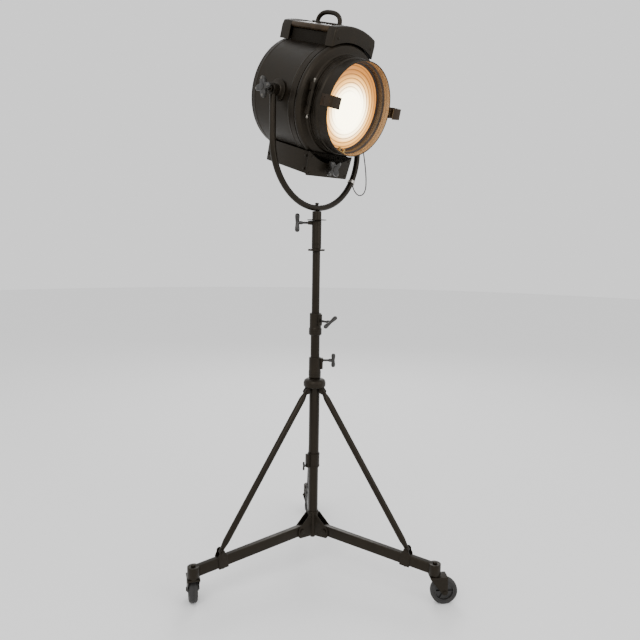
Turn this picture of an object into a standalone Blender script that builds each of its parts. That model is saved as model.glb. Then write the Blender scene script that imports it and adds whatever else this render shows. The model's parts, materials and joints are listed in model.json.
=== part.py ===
"""Studio spotlight with a stepped lens, on a folding rolling stand with two risers.

Metres, +Z up. The origin is on the floor, on the axis of the stand's column. The yoke and its tilt axis
lie along X, and the beam leaves towards -Y, tipped down by HEAD_TIP.
"""

import math

import bmesh
import bpy
from mathutils import Matrix, Vector

TURN = 2 * math.pi
GAP = 0.0003  # between pieces that touch
MERGE = 0.00001
COLUMN_STEPS = 16  # facets round every tube of the column
DRUM_STEPS = 32
SMOOTH_ANGLE = math.radians(32)

# Legs and hub
LEG_ANGLES = {"1": 166.5, "2": -73.5, "3": 46.5}  # degrees about the column, counted from +X
HUB_RADIUS = 0.058
HUB_HEIGHT = 0.180
LEG_REACH = 0.447  # hub pivot to swivel axis, level
LEG_DROP = 0.047
LEG_HALF_WIDTH = 0.0125
LEG_HALF_HEIGHT = 0.0200
CHEEK_THICK = 0.004
SADDLE_ALONG = 0.338  # hub pivot to brace pivot, along the leg
SADDLE_ABOVE = 0.038  # brace pivot above the leg's centre line
LEG_SLOPE = math.atan2(LEG_DROP, LEG_REACH)

# Casters
WHEEL_RADIUS = 0.050
TREAD_HALF = 0.0155
CASTER_TRAIL = 0.036
CASTER_ANGLES = {"1": 60, "2": -42, "3": 30}  # where each trail points at rest
BOSS_LOW = 0.1125
BOSS_HIGH = 0.154

# Column
LEG_TUBE_RADIUS = 0.0190
OUTER_TUBE_RADIUS = 0.02025
RISER_2_RADIUS = 0.0175
RISER_1_RADIUS = 0.0150
LEG_TUBE_TOP = 0.840
OUTER_TUBE_LOW = 0.430
OUTER_TUBE_TOP = 0.845
RISER_2_LOW = 0.360
RISER_2_TOP = 1.000
RISER_1_LOW = 0.660
RISER_1_TOP = 1.2962
BRACE_PIVOT_RADIUS = 0.036
BRACE_PIVOT_HEIGHT = 0.739
LUG_INSIDE = 0.0065
LUG_THICK = 0.0035
BRACE_RADIUS = 0.012
LOWER_LOCK_ANGLE = -46
UPPER_LOCK_ANGLE = -88
LEG_LOCK_HEIGHT = 0.440
LOWER_LOCK_HEIGHT = 0.857
UPPER_LOCK_HEIGHT = 1.012

# Pan socket and yoke
SOCKET_LOW = 1.2765
SOCKET_TOP = 1.390
PAN_LOCK_HEIGHT = 1.381
PAN_LOCK_ANGLE = 134
YOKE_BOTTOM = 1.436
YOKE_HALF_WIDTH = 0.225
YOKE_ROD = 0.0113
TILT_HEIGHT = 1.828
HEAD_TIP = math.radians(17)
BOSS_END = YOKE_HALF_WIDTH + 0.0115  # outer face of the boss at the top of each arm
TETHER_TOP = 1.768

# Head, along the beam from the tilt axis: positive is forward
DRUM_RADIUS = 0.200
DRUM_BACK = -0.136
DRUM_FRONT = 0.0885
SKIN = 0.0025
VENT_HALF_WIDTH = 0.106
VENT_EAVES = 0.233
VENT_RIDGE = 0.256
CAP_INNER_RADIUS = 0.2045
BOX_FLOOR = -0.252
BOX_BACK = -0.098
BOX_FRONT = 0.120
PLATE_FRONT = 0.128
SCREW_HEIGHT = -0.218
DOOR_BACK = 0.1315
DOOR_FRONT = 0.208
LENS_RADIUS = 0.1485
HINGE_SIDE = -0.173
HINGE_FORWARD = 0.138
LAMP_FORWARD = -0.020

PAINT = ((0.030, 0.027, 0.022), 0.45, 0.0)
WORN_STEEL = ((0.42, 0.40, 0.37), 0.35, 1.0)
BRIGHT_STEEL = ((0.62, 0.60, 0.57), 0.22, 1.0)
RUBBER = ((0.018, 0.018, 0.018), 0.75, 0.0)
PLASTIC = ((0.035, 0.033, 0.030), 0.50, 0.0)
GLASS = ((0.95, 0.88, 0.74), 0.05, 0.0)
MIRROR = ((0.85, 0.84, 0.82), 0.08, 1.0)
CABLE = ((0.030, 0.030, 0.030), 0.60, 0.0)

BEAM = Matrix.Rotation(math.radians(90), 4, "X")  # turns +Z to the beam's direction, -Y
SIDEWAYS = Matrix.Rotation(math.radians(90), 4, "Y")  # turns +Z to +X
CROSSWAYS = Matrix.Rotation(math.radians(-90), 4, "X")  # turns +Z to +Y


def clear_scene():
    for old in list(bpy.data.objects):
        bpy.data.objects.remove(old, do_unlink=True)


def looks(name, look):
    colour, roughness, metallic = look
    material = bpy.data.materials.new(f"{name}_finish")
    material.use_nodes = True
    shader = material.node_tree.nodes["Principled BSDF"]
    shader.inputs["Base Color"].default_value = (*colour, 1.0)
    shader.inputs["Roughness"].default_value = roughness
    shader.inputs["Metallic"].default_value = metallic
    return material


def anchor(name, place, turn=(0.0, 0.0, 0.0), parent=None):
    """An empty that holds a frame, such as a joint's axis."""
    empty = bpy.data.objects.new(name, None)
    empty.location = place
    empty.rotation_euler = turn
    empty.parent = parent
    bpy.context.scene.collection.objects.link(empty)
    return empty


def from_mesh(name, shape):
    bmesh.ops.recalc_face_normals(shape, faces=shape.faces[:])
    data = bpy.data.meshes.new(name)
    shape.to_mesh(data)
    shape.free()
    data.shade_smooth()
    data.set_sharp_from_angle(angle=SMOOTH_ANGLE)
    made = bpy.data.objects.new(name, data)
    bpy.context.scene.collection.objects.link(made)
    return made


def piece(name, shape, look, parent=None):
    made = from_mesh(name, shape)
    made.data.materials.append(looks(name, look))
    made.parent = parent
    return made


def reshape(target, shape, operation):
    """Joins a shape to a piece, or cuts it away, with a hidden tool object and a Boolean."""
    tool = from_mesh(f"{target.name}_tool_{len(target.modifiers) + 1}", shape)
    tool.parent = target
    tool.hide_render = True
    tool.display_type = "WIRE"
    step = target.modifiers.new(tool.name, "BOOLEAN")
    step.operation = operation
    step.solver = "EXACT"
    step.object = tool


def join(target, *shapes):
    for shape in shapes:
        reshape(target, shape, "UNION")


def cut(target, *shapes):
    for shape in shapes:
        reshape(target, shape, "DIFFERENCE")


def moved(shape, *matrices):
    """The shape after each matrix in turn."""
    for matrix in matrices:
        bmesh.ops.transform(shape, matrix=matrix, verts=shape.verts[:])
    return shape


def shift(x=0.0, y=0.0, z=0.0):
    return Matrix.Translation((x, y, z))


def about(axis, degrees):
    return Matrix.Rotation(math.radians(degrees), 4, axis)


def together(*shapes):
    """Several separate shapes as one tool."""
    whole = bmesh.new()
    for shape in shapes:
        data = bpy.data.meshes.new("part")
        shape.to_mesh(data)
        shape.free()
        whole.from_mesh(data)
        bpy.data.meshes.remove(data)
    return whole


def turned(profile, steps=COLUMN_STEPS):
    """A closed outline of (radius, height) points, spun about Z."""
    shape = bmesh.new()
    corners = [shape.verts.new((radius, 0.0, height)) for radius, height in profile]
    edges = []
    for first, second in zip(corners, corners[1:] + corners[:1], strict=True):
        if first.co.x > 0 or second.co.x > 0:
            edges.append(shape.edges.new((first, second)))
    bmesh.ops.spin(
        shape,
        geom=corners + edges,
        cent=(0, 0, 0),
        axis=(0, 0, 1),
        angle=TURN,
        steps=steps,
        use_merge=True,
    )
    bmesh.ops.remove_doubles(shape, verts=shape.verts[:], dist=MERGE)
    return shape


def cylinder(radius, low, high, steps=16):
    return turned([(0, low), (radius, low), (radius, high), (0, high)], steps)


def bore(radius, low, high, steps=12):
    """A drill: a cylinder whose corners stay off the spokes of the round faces that it enters."""
    return moved(cylinder(radius, low, high, steps), about("Z", 4))


def sleeve(inner, outer, low, high, steps=COLUMN_STEPS):
    return turned([(inner, low), (outer, low), (outer, high), (inner, high)], steps)


def prism(outline, low, high):
    """A flat (x, y) outline, extruded from low to high along Z."""
    shape = bmesh.new()
    base = [shape.verts.new((x, y, low)) for x, y in outline]
    face = shape.faces.new(base)
    risen = bmesh.ops.extrude_face_region(shape, geom=[face])["geom"]
    top = [item for item in risen if isinstance(item, bmesh.types.BMVert)]
    bmesh.ops.translate(shape, vec=(0, 0, high - low), verts=top)
    return shape


def block(x_range, y_range, z_range, bevel=0.0):
    (x0, x1), (y0, y1), (z0, z1) = x_range, y_range, z_range
    shape = prism([(x0, y0), (x1, y0), (x1, y1), (x0, y1)], z0, z1)
    if bevel:
        bmesh.ops.bevel(
            shape, geom=shape.edges[:], offset=bevel, segments=1, profile=0.5, affect="EDGES"
        )
    return shape


def arc(centre, radius, start, end, steps):
    """Points on a round stretch of an outline, from one angle to another in degrees."""
    x, y = centre
    angles = [math.radians(start + (end - start) * i / steps) for i in range(steps + 1)]
    return [(x + radius * math.cos(a), y + radius * math.sin(a)) for a in angles]


def rounded_rectangle(half_x, half_y, corner, steps=3):
    x, y = half_x - corner, half_y - corner
    outline = []
    for number, centre in enumerate([(x, y), (-x, y), (-x, -y), (x, -y)]):
        outline += arc(centre, corner, 90 * number, 90 * number + 90, steps)
    return outline


def upright(shape):
    """Turns a prism's (x, y) outline to (x, z), with its thickness along Y."""
    return moved(shape, about("X", 90))


def swept(path, radius, side, sides=12):
    """A round rod along a flat path whose plane has the normal side."""
    shape = bmesh.new()
    side = Vector(side)
    points = [Vector(point) for point in path]
    rings = []
    for number, point in enumerate(points):
        before = points[max(number - 1, 0)]
        after = points[min(number + 1, len(points) - 1)]
        across = (after - before).normalized().cross(side)
        ring = []
        for corner in range(sides):
            angle = TURN * corner / sides
            offset = across * math.cos(angle) + side * math.sin(angle)
            ring.append(shape.verts.new(point + radius * offset))
        rings.append(ring)
    for lower, upper in zip(rings, rings[1:], strict=False):
        for corner in range(sides):
            after = (corner + 1) % sides
            shape.faces.new((lower[corner], lower[after], upper[after], upper[corner]))
    shape.faces.new(rings[0])
    shape.faces.new(rings[-1])
    return shape


def headed_pin(radius, head, inside, outside):
    """A bolt along Y whose shank spans both sides, with a head beyond inside on each."""
    profile = [
        (0, -outside),
        (head, -outside),
        (head, -inside),
        (radius, -inside),
        (radius, inside),
        (head, inside),
        (head, outside),
        (0, outside),
    ]
    return moved(turned(profile, 8), CROSSWAYS)


def make_hub():
    tube = piece(
        "leg_tube",
        sleeve(RISER_2_RADIUS + GAP, LEG_TUBE_RADIUS, 0.1550, LEG_TUBE_TOP),
        WORN_STEEL,
    )
    inner = LEG_TUBE_RADIUS + GAP
    hub = piece(
        "leg_hub",
        turned(
            [
                (0, 0.140),
                (0.0098, 0.140),
                (0.0098, 0.150),
                (0.0225, 0.1515),
                (0.0225, 0.247),
                (0.0210, 0.249),
                (inner, 0.249),
                (inner, 0.1545),
                (0, 0.1545),
            ]
        ),
        PAINT,
    )
    outline = [
        (0.0155, 0.1525),
        (0.068, 0.1525),
        (0.075, 0.160),
        (0.075, 0.188),
        (0.0215, 0.243),
        (0.0155, 0.243),
    ]
    inside = LEG_HALF_WIDTH + GAP
    plates, drills = [], []
    for degrees in LEG_ANGLES.values():
        for low in (inside, -inside - CHEEK_THICK):
            plate = upright(prism(outline, -low - CHEEK_THICK, -low))
            plates.append(moved(plate, about("Z", degrees)))
        drill = moved(bore(0.0053, -0.03, 0.03), CROSSWAYS)
        drills.append(moved(drill, shift(x=HUB_RADIUS, z=HUB_HEIGHT), about("Z", degrees)))
    join(hub, together(*plates))
    cut(hub, together(*drills))
    return tube, hub


def make_leg(number, degrees):
    """A box-section leg in the frame of its hub pivot, with the saddle that its brace runs in."""
    angle = math.radians(degrees)
    place = (HUB_RADIUS * math.cos(angle), HUB_RADIUS * math.sin(angle), HUB_HEIGHT)
    pivot = anchor(f"leg_pivot_{number}", place, (0, 0, angle))
    slope = Matrix.Rotation(LEG_SLOPE, 4, "Y")
    outline = rounded_rectangle(LEG_HALF_HEIGHT, LEG_HALF_WIDTH, 0.004, 2)
    hollow = rounded_rectangle(LEG_HALF_HEIGHT - 0.002, LEG_HALF_WIDTH - 0.002, 0.0025, 1)
    leg = piece(
        f"leg_{number}",
        moved(prism(outline, -0.022, 0.438), SIDEWAYS, slope),
        PAINT,
        pivot,
    )
    cut(leg, moved(prism(hollow, -0.030, 0.405), SIDEWAYS, slope))
    boss = cylinder(0.022, BOSS_LOW - HUB_HEIGHT, BOSS_HIGH - HUB_HEIGHT, 14)
    join(leg, moved(boss, shift(x=LEG_REACH)))
    cut(leg, moved(bore(0.0062, -0.10, 0.0), shift(x=LEG_REACH)))
    inside = LEG_HALF_WIDTH + CHEEK_THICK + 2 * GAP
    join(leg, headed_pin(0.0050, 0.0090, inside, inside + 0.005))

    inner = LEG_HALF_WIDTH + GAP
    outer = inner + 0.003
    under = LEG_HALF_HEIGHT + GAP
    ear = [(-0.019, -under - 0.003), (0.019, -under - 0.003), (0.019, 0.022)]
    ear += arc((0, SADDLE_ABOVE), 0.0105, -10, 190, 6)
    ear += [(-0.019, 0.022)]
    along = shift(x=SADDLE_ALONG)
    saddle = piece(
        f"leg_saddle_{number}",
        moved(upright(prism(ear, -outer, outer)), along, slope),
        PAINT,
        pivot,
    )
    slot = block((-0.03, 0.03), (-inner, inner), (-under, 0.08))
    cut(saddle, moved(slot, along, slope))
    bolt = moved(cylinder(0.006, -under - 0.011, -under - 0.001, 6), along, slope)
    pivot_line = shift(z=SADDLE_ABOVE)
    heads = [
        moved(cylinder(0.006, low, low + 0.0045, 6), CROSSWAYS, pivot_line, along, slope)
        for low in (outer - 0.0005, -outer - 0.004)
    ]
    join(saddle, bolt, together(*heads))
    return leg, saddle


def make_caster(number, degrees):
    """A swivel fork, its wheel and its tyre, in the frame of the swivel axis."""
    angle = math.radians(degrees)
    reach = HUB_RADIUS + LEG_REACH
    place = (reach * math.cos(angle), reach * math.sin(angle), 0.0)
    swivel = anchor(
        f"caster_swivel_{number}", place, (0, 0, math.radians(CASTER_ANGLES[number]))
    )
    crown = block((-0.019, 0.046), (-0.0235, 0.0235), (0.1015, 0.1090), 0.0012)
    fork = piece(f"caster_fork_{number}", crown, PAINT, swivel)
    side = [(-0.017, 0.1080), (-0.017, 0.099)]
    side += arc((CASTER_TRAIL, WHEEL_RADIUS), 0.0115, 200, 380, 6)
    side += [(0.0445, 0.1080)]
    inside = TREAD_HALF + 0.0025
    plates = [upright(prism(side, -low - 0.0035, -low)) for low in (inside, -inside - 0.0035)]
    join(fork, together(*plates))
    race = [(0, 0.1080), (0.0190, 0.1080), (0.0190, 0.1122), (0.0056, 0.1122)]
    stem = [(0.0056, 0.1545), (0.0088, 0.1545), (0.0088, 0.1590), (0.0060, 0.1615), (0, 0.1615)]
    join(fork, turned(race + stem, 14))
    axle = headed_pin(0.0050, 0.0075, inside + 0.003, inside + 0.0065)
    join(fork, moved(axle, shift(x=CASTER_TRAIL, z=WHEEL_RADIUS)))

    spin = anchor(f"caster_axle_{number}", (CASTER_TRAIL, 0, WHEEL_RADIUS), parent=swivel)
    rim = 0.0365
    outline = [
        (0.0054, -0.0165),
        (0.0110, -0.0165),
        (0.0125, -0.0055),
        (0.0310, -0.0055),
        (0.0325, -0.0135),
        (rim, -0.0135),
    ]
    profile = outline + [(radius, -across) for radius, across in reversed(outline)]
    wheel = moved(turned(profile, 20), CROSSWAYS)
    tread = [(rim + GAP, -0.0138), (0.0440, -TREAD_HALF), (0.0485, -0.0120), (WHEEL_RADIUS, -0.0040)]
    tread += [(radius, -across) for radius, across in reversed(tread)]
    tyre = moved(turned(tread, 20), CROSSWAYS)
    return (
        fork,
        piece(f"caster_wheel_{number}", wheel, PLASTIC, spin),
        piece(f"caster_tyre_{number}", tyre, RUBBER, spin),
    )


def brace_end():
    """The brace's lower pivot, as radius and height, with the leg at rest."""
    along = SADDLE_ALONG * math.cos(LEG_SLOPE) + SADDLE_ABOVE * math.sin(LEG_SLOPE)
    above = SADDLE_ABOVE * math.cos(LEG_SLOPE) - SADDLE_ALONG * math.sin(LEG_SLOPE)
    return HUB_RADIUS + along, HUB_HEIGHT + above


def make_brace(number, degrees):
    """A hollow brace with a flat tongue at each end, in the frame of its upper pivot."""
    angle = math.radians(degrees)
    place = (
        BRACE_PIVOT_RADIUS * math.cos(angle),
        BRACE_PIVOT_RADIUS * math.sin(angle),
        BRACE_PIVOT_HEIGHT,
    )
    pivot = anchor(f"brace_pivot_{number}", place, (0, 0, angle))
    radius, height = brace_end()
    out, down = radius - BRACE_PIVOT_RADIUS, BRACE_PIVOT_HEIGHT - height
    length = math.hypot(out, down)
    lean = Matrix.Rotation(-math.atan2(out, down), 4, "Y")
    tube = cylinder(BRACE_RADIUS, 0.024 - length, -0.022, 12)
    brace = piece(f"brace_{number}", moved(tube, lean), PAINT, pivot)
    cut(brace, moved(cylinder(BRACE_RADIUS - 0.0015, 0.040 - length, -0.036, 12), lean))
    upper = arc((0, 0), 0.0090, 0, 180, 6) + [(-0.0090, -0.030), (0.0090, -0.030)]
    lower = arc((0, -length), 0.0080, 180, 360, 6)
    lower += [(0.0100, 0.034 - length), (-0.0100, 0.034 - length)]
    join(brace, moved(upright(prism(upper, -0.0060, 0.0060)), lean))
    join(brace, moved(upright(prism(lower, -0.0085, 0.0085)), lean))
    inside = LUG_INSIDE + LUG_THICK + GAP
    join(brace, headed_pin(0.0040, 0.0070, inside, inside + 0.0035))
    drain = moved(bore(0.0020, 0.0, 0.02, 8), CROSSWAYS, shift(z=0.050 - length), lean)
    cut(brace, drain)
    return brace


def make_outer_tube():
    """The tube that the brace ring is fixed on, with the collars at its two ends."""
    lock = about("Z", LEG_ANGLES["1"])
    tube = piece(
        "outer_tube",
        sleeve(LEG_TUBE_RADIUS + GAP, OUTER_TUBE_RADIUS, OUTER_TUBE_LOW, OUTER_TUBE_TOP),
        PAINT,
    )
    drill = moved(bore(0.0036, 0.012, 0.06), SIDEWAYS, shift(z=LEG_LOCK_HEIGHT), lock)
    cut(tube, drill)

    inner = OUTER_TUBE_RADIUS + GAP
    base = piece("base_collar", sleeve(inner, 0.0232, 0.431, 0.487), PAINT)
    join(base, moved(block((0.0215, 0.0335), (-0.009, 0.009), (0.4325, 0.4855), 0.002), lock))
    cut(base, moved(bore(0.0036, 0.012, 0.06), SIDEWAYS, shift(z=LEG_LOCK_HEIGHT), lock))

    ring = piece(
        "brace_ring",
        turned(
            [
                (inner, 0.752),
                (0.0385, 0.752),
                (0.0425, 0.7565),
                (0.0430, 0.7700),
                (0.0395, 0.7800),
                (0.0300, 0.7855),
                (inner, 0.7865),
            ]
        ),
        PAINT,
    )
    lug = [(-0.0115, 0.0155)] + arc((0, 0), 0.0115, 180, 360, 6) + [(0.0, 0.0155)]
    lugs, drills = [], []
    for degrees in LEG_ANGLES.values():
        for low in (LUG_INSIDE, -LUG_INSIDE - LUG_THICK):
            plate = upright(prism(lug, -low - LUG_THICK, -low))
            place = shift(x=BRACE_PIVOT_RADIUS, z=BRACE_PIVOT_HEIGHT)
            lugs.append(moved(plate, place, about("Z", degrees)))
        drill = moved(bore(0.0043, -0.03, 0.03), CROSSWAYS, place)
        drills.append(moved(drill, about("Z", degrees)))
    join(ring, together(*lugs))
    cut(ring, together(*drills))
    return tube, base, ring


def make_clamp(name, heights, radii, lock, ear):
    """A collar fixed round a tube's top end, which clamps the riser that slides out of it."""
    low, shoulder, top = heights
    inner_low, inner_high = (radius + GAP for radius in radii)
    lock_height, lock_angle = lock
    skirt, crown, reach, ear_low, ear_high = ear
    clamp = piece(
        name,
        turned(
            [
                (inner_low, low),
                (skirt - 0.003, low),
                (skirt, low + 0.004),
                (skirt, low + 0.026),
                (crown, low + 0.030),
                (crown, top - 0.002),
                (crown - 0.0015, top),
                (inner_high, top),
                (inner_high, shoulder),
                (inner_low, shoulder),
            ]
        ),
        PAINT,
    )
    turn = about("Z", lock_angle)
    boss = block((crown - 0.0025, reach), (-0.010, 0.010), (ear_low, ear_high), 0.0025)
    join(clamp, moved(boss, turn))
    drill = moved(bore(0.0050, 0.010, 0.08), SIDEWAYS, shift(z=lock_height), turn)
    cut(clamp, drill)
    return clamp


def make_risers():
    make_clamp(
        "lower_clamp",
        (0.788, OUTER_TUBE_TOP + GAP, 0.869),
        (OUTER_TUBE_RADIUS, RISER_2_RADIUS),
        (LOWER_LOCK_HEIGHT, LOWER_LOCK_ANGLE),
        (0.0237, 0.0230, 0.0310, 0.823, 0.8665),
    )
    piece("riser_2", sleeve(0.0155, RISER_2_RADIUS, RISER_2_LOW, RISER_2_TOP), PAINT)
    make_clamp(
        "upper_clamp",
        (0.955, RISER_2_TOP + GAP, 1.041),
        (RISER_2_RADIUS, RISER_1_RADIUS),
        (UPPER_LOCK_HEIGHT, UPPER_LOCK_ANGLE),
        (0.0245, 0.0222, 0.0265, 0.993, 1.0375),
    )
    piece("riser_1", sleeve(0.0135, RISER_1_RADIUS, RISER_1_LOW, RISER_1_TOP), PAINT)


def make_lock(name, seat, shape):
    """A T-handled screw along its own X axis, whose tip presses on a tube."""
    height, degrees, tip = seat
    reach, length, stem, bar, tilt = shape
    pivot = anchor(f"{name}_axis", (0, 0, height), (0, 0, math.radians(degrees)))
    shank = [
        (0, tip),
        (stem, tip),
        (stem, reach - 2.4 * bar),
        (stem * 1.5, reach - 1.9 * bar),
        (stem * 1.5, reach),
        (0, reach),
    ]
    lock = piece(name, moved(turned(shank, 12), SIDEWAYS), PAINT, pivot)
    half = length / 2
    grip = [(0, -half), (bar * 0.55, -half), (bar, -half + bar * 0.6), (bar, -half + bar * 1.6)]
    grip += [(bar * 0.72, 0)] + [(radius, -height) for radius, height in reversed(grip)]
    join(lock, moved(turned(grip, 12), about("X", tilt), shift(x=reach)))
    return lock


def make_locks():
    """Each lock's seat is its height, its heading and where its tip stops."""
    make_lock(
        "leg_lock_handle",
        (LEG_LOCK_HEIGHT, LEG_ANGLES["1"], LEG_TUBE_RADIUS + GAP),
        (0.0455, 0.034, 0.0032, 0.0042, 0),
    )
    make_lock(
        "lower_lock_handle",
        (LOWER_LOCK_HEIGHT, LOWER_LOCK_ANGLE, RISER_2_RADIUS + GAP),
        (0.071, 0.055, 0.0045, 0.0080, 8),
    )
    make_lock(
        "upper_lock_handle",
        (UPPER_LOCK_HEIGHT, UPPER_LOCK_ANGLE, RISER_1_RADIUS + GAP),
        (0.076, 0.075, 0.0045, 0.0080, -63),
    )
    make_lock(
        "pan_lock_handle",
        (PAN_LOCK_HEIGHT, PAN_LOCK_ANGLE, 0.0085),
        (0.073, 0.070, 0.0045, 0.0090, 6),
    )


def make_pan():
    """The socket on the top riser, and the spigot that turns in it under the yoke."""
    riser_bore = RISER_1_RADIUS + GAP
    socket = piece(
        "head_socket",
        turned(
            [
                (riser_bore, SOCKET_LOW),
                (0.0320, SOCKET_LOW),
                (0.0320, SOCKET_LOW + 0.0070),
                (0.0180, SOCKET_LOW + 0.0090),
                (0.0180, SOCKET_TOP - 0.0015),
                (0.0165, SOCKET_TOP),
                (0.0088, SOCKET_TOP),
                (0.0088, RISER_1_TOP + GAP),
                (riser_bore, RISER_1_TOP + GAP),
            ]
        ),
        PAINT,
    )
    turn = about("Z", PAN_LOCK_ANGLE)
    ferrule = turned([(0, 0.0130), (0.0085, 0.0130), (0.0070, 0.0330), (0, 0.0330)])
    join(socket, moved(ferrule, SIDEWAYS, shift(z=PAN_LOCK_HEIGHT), turn))
    drill = moved(bore(0.0050, 0.004, 0.06), SIDEWAYS, shift(z=PAN_LOCK_HEIGHT), turn)
    cut(socket, drill)

    pan = anchor("pan_axis", (0, 0, 0))
    low = YOKE_BOTTOM - YOKE_ROD
    nut = YOKE_BOTTOM + YOKE_ROD + 0.0015
    piece(
        "yoke_spigot",
        turned(
            [
                (0, SOCKET_LOW + 0.030),
                (0.00825, SOCKET_LOW + 0.030),
                (0.00825, SOCKET_TOP + 0.0005),
                (0.0360, SOCKET_TOP + 0.0005),
                (0.0360, SOCKET_TOP + 0.0035),
                (0.0175, SOCKET_TOP + 0.0045),
                (0.0175, low - 0.0040),
                (0.0160, low - 0.0005),
                (0.0042, low - 0.0005),
                (0.0042, nut),
                (0.0080, nut),
                (0.0080, nut + 0.0060),
                (0, nut + 0.0070),
            ]
        ),
        PAINT,
        pan,
    )
    return pan


def yoke_path():
    """A half circle under the head, with a straight arm up each side."""
    centre = YOKE_BOTTOM + YOKE_HALF_WIDTH
    top = TILT_HEIGHT - 0.010
    bend = arc((0, centre), YOKE_HALF_WIDTH, 180, 360, 18)
    outline = [(-YOKE_HALF_WIDTH, top), (-YOKE_HALF_WIDTH, centre + 0.07)]
    outline += bend + [(YOKE_HALF_WIDTH, centre + 0.07), (YOKE_HALF_WIDTH, top)]
    return [(x, 0.0, z) for x, z in outline]


def make_yoke(pan):
    yoke = piece("yoke", swept(yoke_path(), YOKE_ROD, (0, 1, 0), 10), PAINT, pan)
    thick = 0.0225
    starts = (BOSS_END - thick, -BOSS_END)
    bosses = [moved(cylinder(0.020, start, start + thick), SIDEWAYS) for start in starts]
    join(yoke, moved(together(*bosses), shift(z=TILT_HEIGHT)))
    reach = (YOKE_HALF_WIDTH + 0.007, YOKE_HALF_WIDTH + 0.0205)
    join(yoke, block(reach, (-0.0035, 0.0035), (TETHER_TOP, TETHER_TOP + 0.006), 0.001))
    cut(yoke, moved(bore(0.0066, -0.3, 0.3), SIDEWAYS, shift(z=TILT_HEIGHT)))
    cut(yoke, bore(0.0047, YOKE_BOTTOM - 0.03, YOKE_BOTTOM + 0.03))
    grip = sleeve(YOKE_ROD + 0.0008, 0.0138, -0.006, 0.006, 12)
    ear = block((0.0126, 0.0190), (-0.0025, 0.0025), (-0.0045, 0.0045), 0.0008)
    angle = 31.5  # below level, seen from the middle of the yoke's bend
    centre = YOKE_BOTTOM + YOKE_HALF_WIDTH
    along = shift(z=centre) @ about("Y", angle) @ shift(x=YOKE_HALF_WIDTH - 0.0007)
    clip = piece("tether_clip", moved(grip, along), BRIGHT_STEEL, pan)
    join(clip, moved(ear, along))
    return yoke, clip


def tether_route():
    """A smooth curve through the loop's own points, which hangs outside the yoke's right arm."""
    route = [
        (0.2410, 0.0000, 1.7677),
        (0.2415, -0.0010, 1.7500),
        (0.2435, -0.0060, 1.7100),
        (0.2470, -0.0140, 1.6600),
        (0.2505, -0.0210, 1.6100),
        (0.2520, -0.0255, 1.5650),
        (0.2500, -0.0275, 1.5300),
        (0.2430, -0.0270, 1.5080),
        (0.2320, -0.0240, 1.4960),
        (0.2190, -0.0195, 1.4935),
        (0.2070, -0.0150, 1.5000),
        (0.1995, -0.0095, 1.5130),
        (0.1995, -0.0035, 1.5245),
        (0.2021, 0.0000, 1.5303),
    ]
    points = [Vector(point) for point in route]
    padded = [2 * points[0] - points[1]] + points + [2 * points[-1] - points[-2]]
    smooth = []
    for a, b, c, d in zip(padded, padded[1:], padded[2:], padded[3:], strict=False):
        for step in range(3):
            t = step / 3
            bend = (2 * b, (c - a) * t, (2 * a - 5 * b + 4 * c - d) * t * t)
            smooth.append((sum(bend, (3 * b - a - 3 * c + d) * t**3)) / 2)
    return smooth + [points[-1]]


def make_tether(pan):
    curve = bpy.data.curves.new("tether_cord", "CURVE")
    curve.dimensions = "3D"
    curve.bevel_depth = 0.0022
    curve.bevel_resolution = 2
    curve.use_fill_caps = True
    points = tether_route()
    spline = curve.splines.new("POLY")
    spline.points.add(len(points) - 1)
    for target, point in zip(spline.points, points, strict=True):
        target.co = (*point, 1.0)
    cord = bpy.data.objects.new("tether_cord", curve)
    curve.materials.append(looks("tether_cord", CABLE))
    cord.parent = pan
    bpy.context.scene.collection.objects.link(cord)
    return cord


def make_trunnions(head):
    """A disc and pin on each side of the head, which turn in the yoke's bosses."""
    start = DRUM_RADIUS + 2 * GAP
    nut = BOSS_END + 0.0010
    for name, turn, tip in (("trunnion_right", 0, 0.0080), ("trunnion_left", 180, 0.0295)):
        profile = [
            (0, start),
            (0.0380, start),
            (0.0380, start + 0.0045),
            (0.0240, start + 0.0070),
            (0.0200, start + 0.0098),
            (0.0060, start + 0.0098),
            (0.0060, nut),
            (0.0120, nut),
            (0.0120, nut + 0.0040),
            (0.0090, nut + 0.0060),
            (0.0055, nut + 0.0060),
            (0.0055, nut + tip),
            (0, nut + tip),
        ]
        piece(name, moved(turned(profile), SIDEWAYS, about("Z", turn)), WORN_STEEL, head)


def lobed_knob(low, thick, depth):
    """A four-lobed knob about Z: its radius is 26 mm plus 9.5 mm times the cosine of four turns."""
    outline = []
    for step in range(24):
        angle = TURN * step / 24
        radius = 0.0260 + 0.0095 * math.cos(4 * angle)
        outline.append((radius * math.cos(angle), radius * math.sin(angle)))
    shape = prism(outline, low, low + thick)
    rims = [edge for edge in shape.edges if edge.verts[0].co.z == edge.verts[1].co.z]
    bmesh.ops.bevel(shape, geom=rims, offset=0.004, segments=1, profile=0.5, affect="EDGES")
    stem = cylinder(0.0090, low - 0.012, low + 0.004)
    drill = bore(0.0059, low - 0.02, low - 0.012 + depth)
    return shape, stem, drill


def make_tilt_knob(head):
    grip, stem, drill = lobed_knob(BOSS_END + 0.0225, 0.017, 0.021)
    turn = about("Z", 180)
    knob = piece("tilt_knob", moved(grip, about("Z", 20), SIDEWAYS, turn), PLASTIC, head)
    join(knob, moved(stem, SIDEWAYS, turn))
    cut(knob, moved(drill, SIDEWAYS, turn))
    return knob


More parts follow.
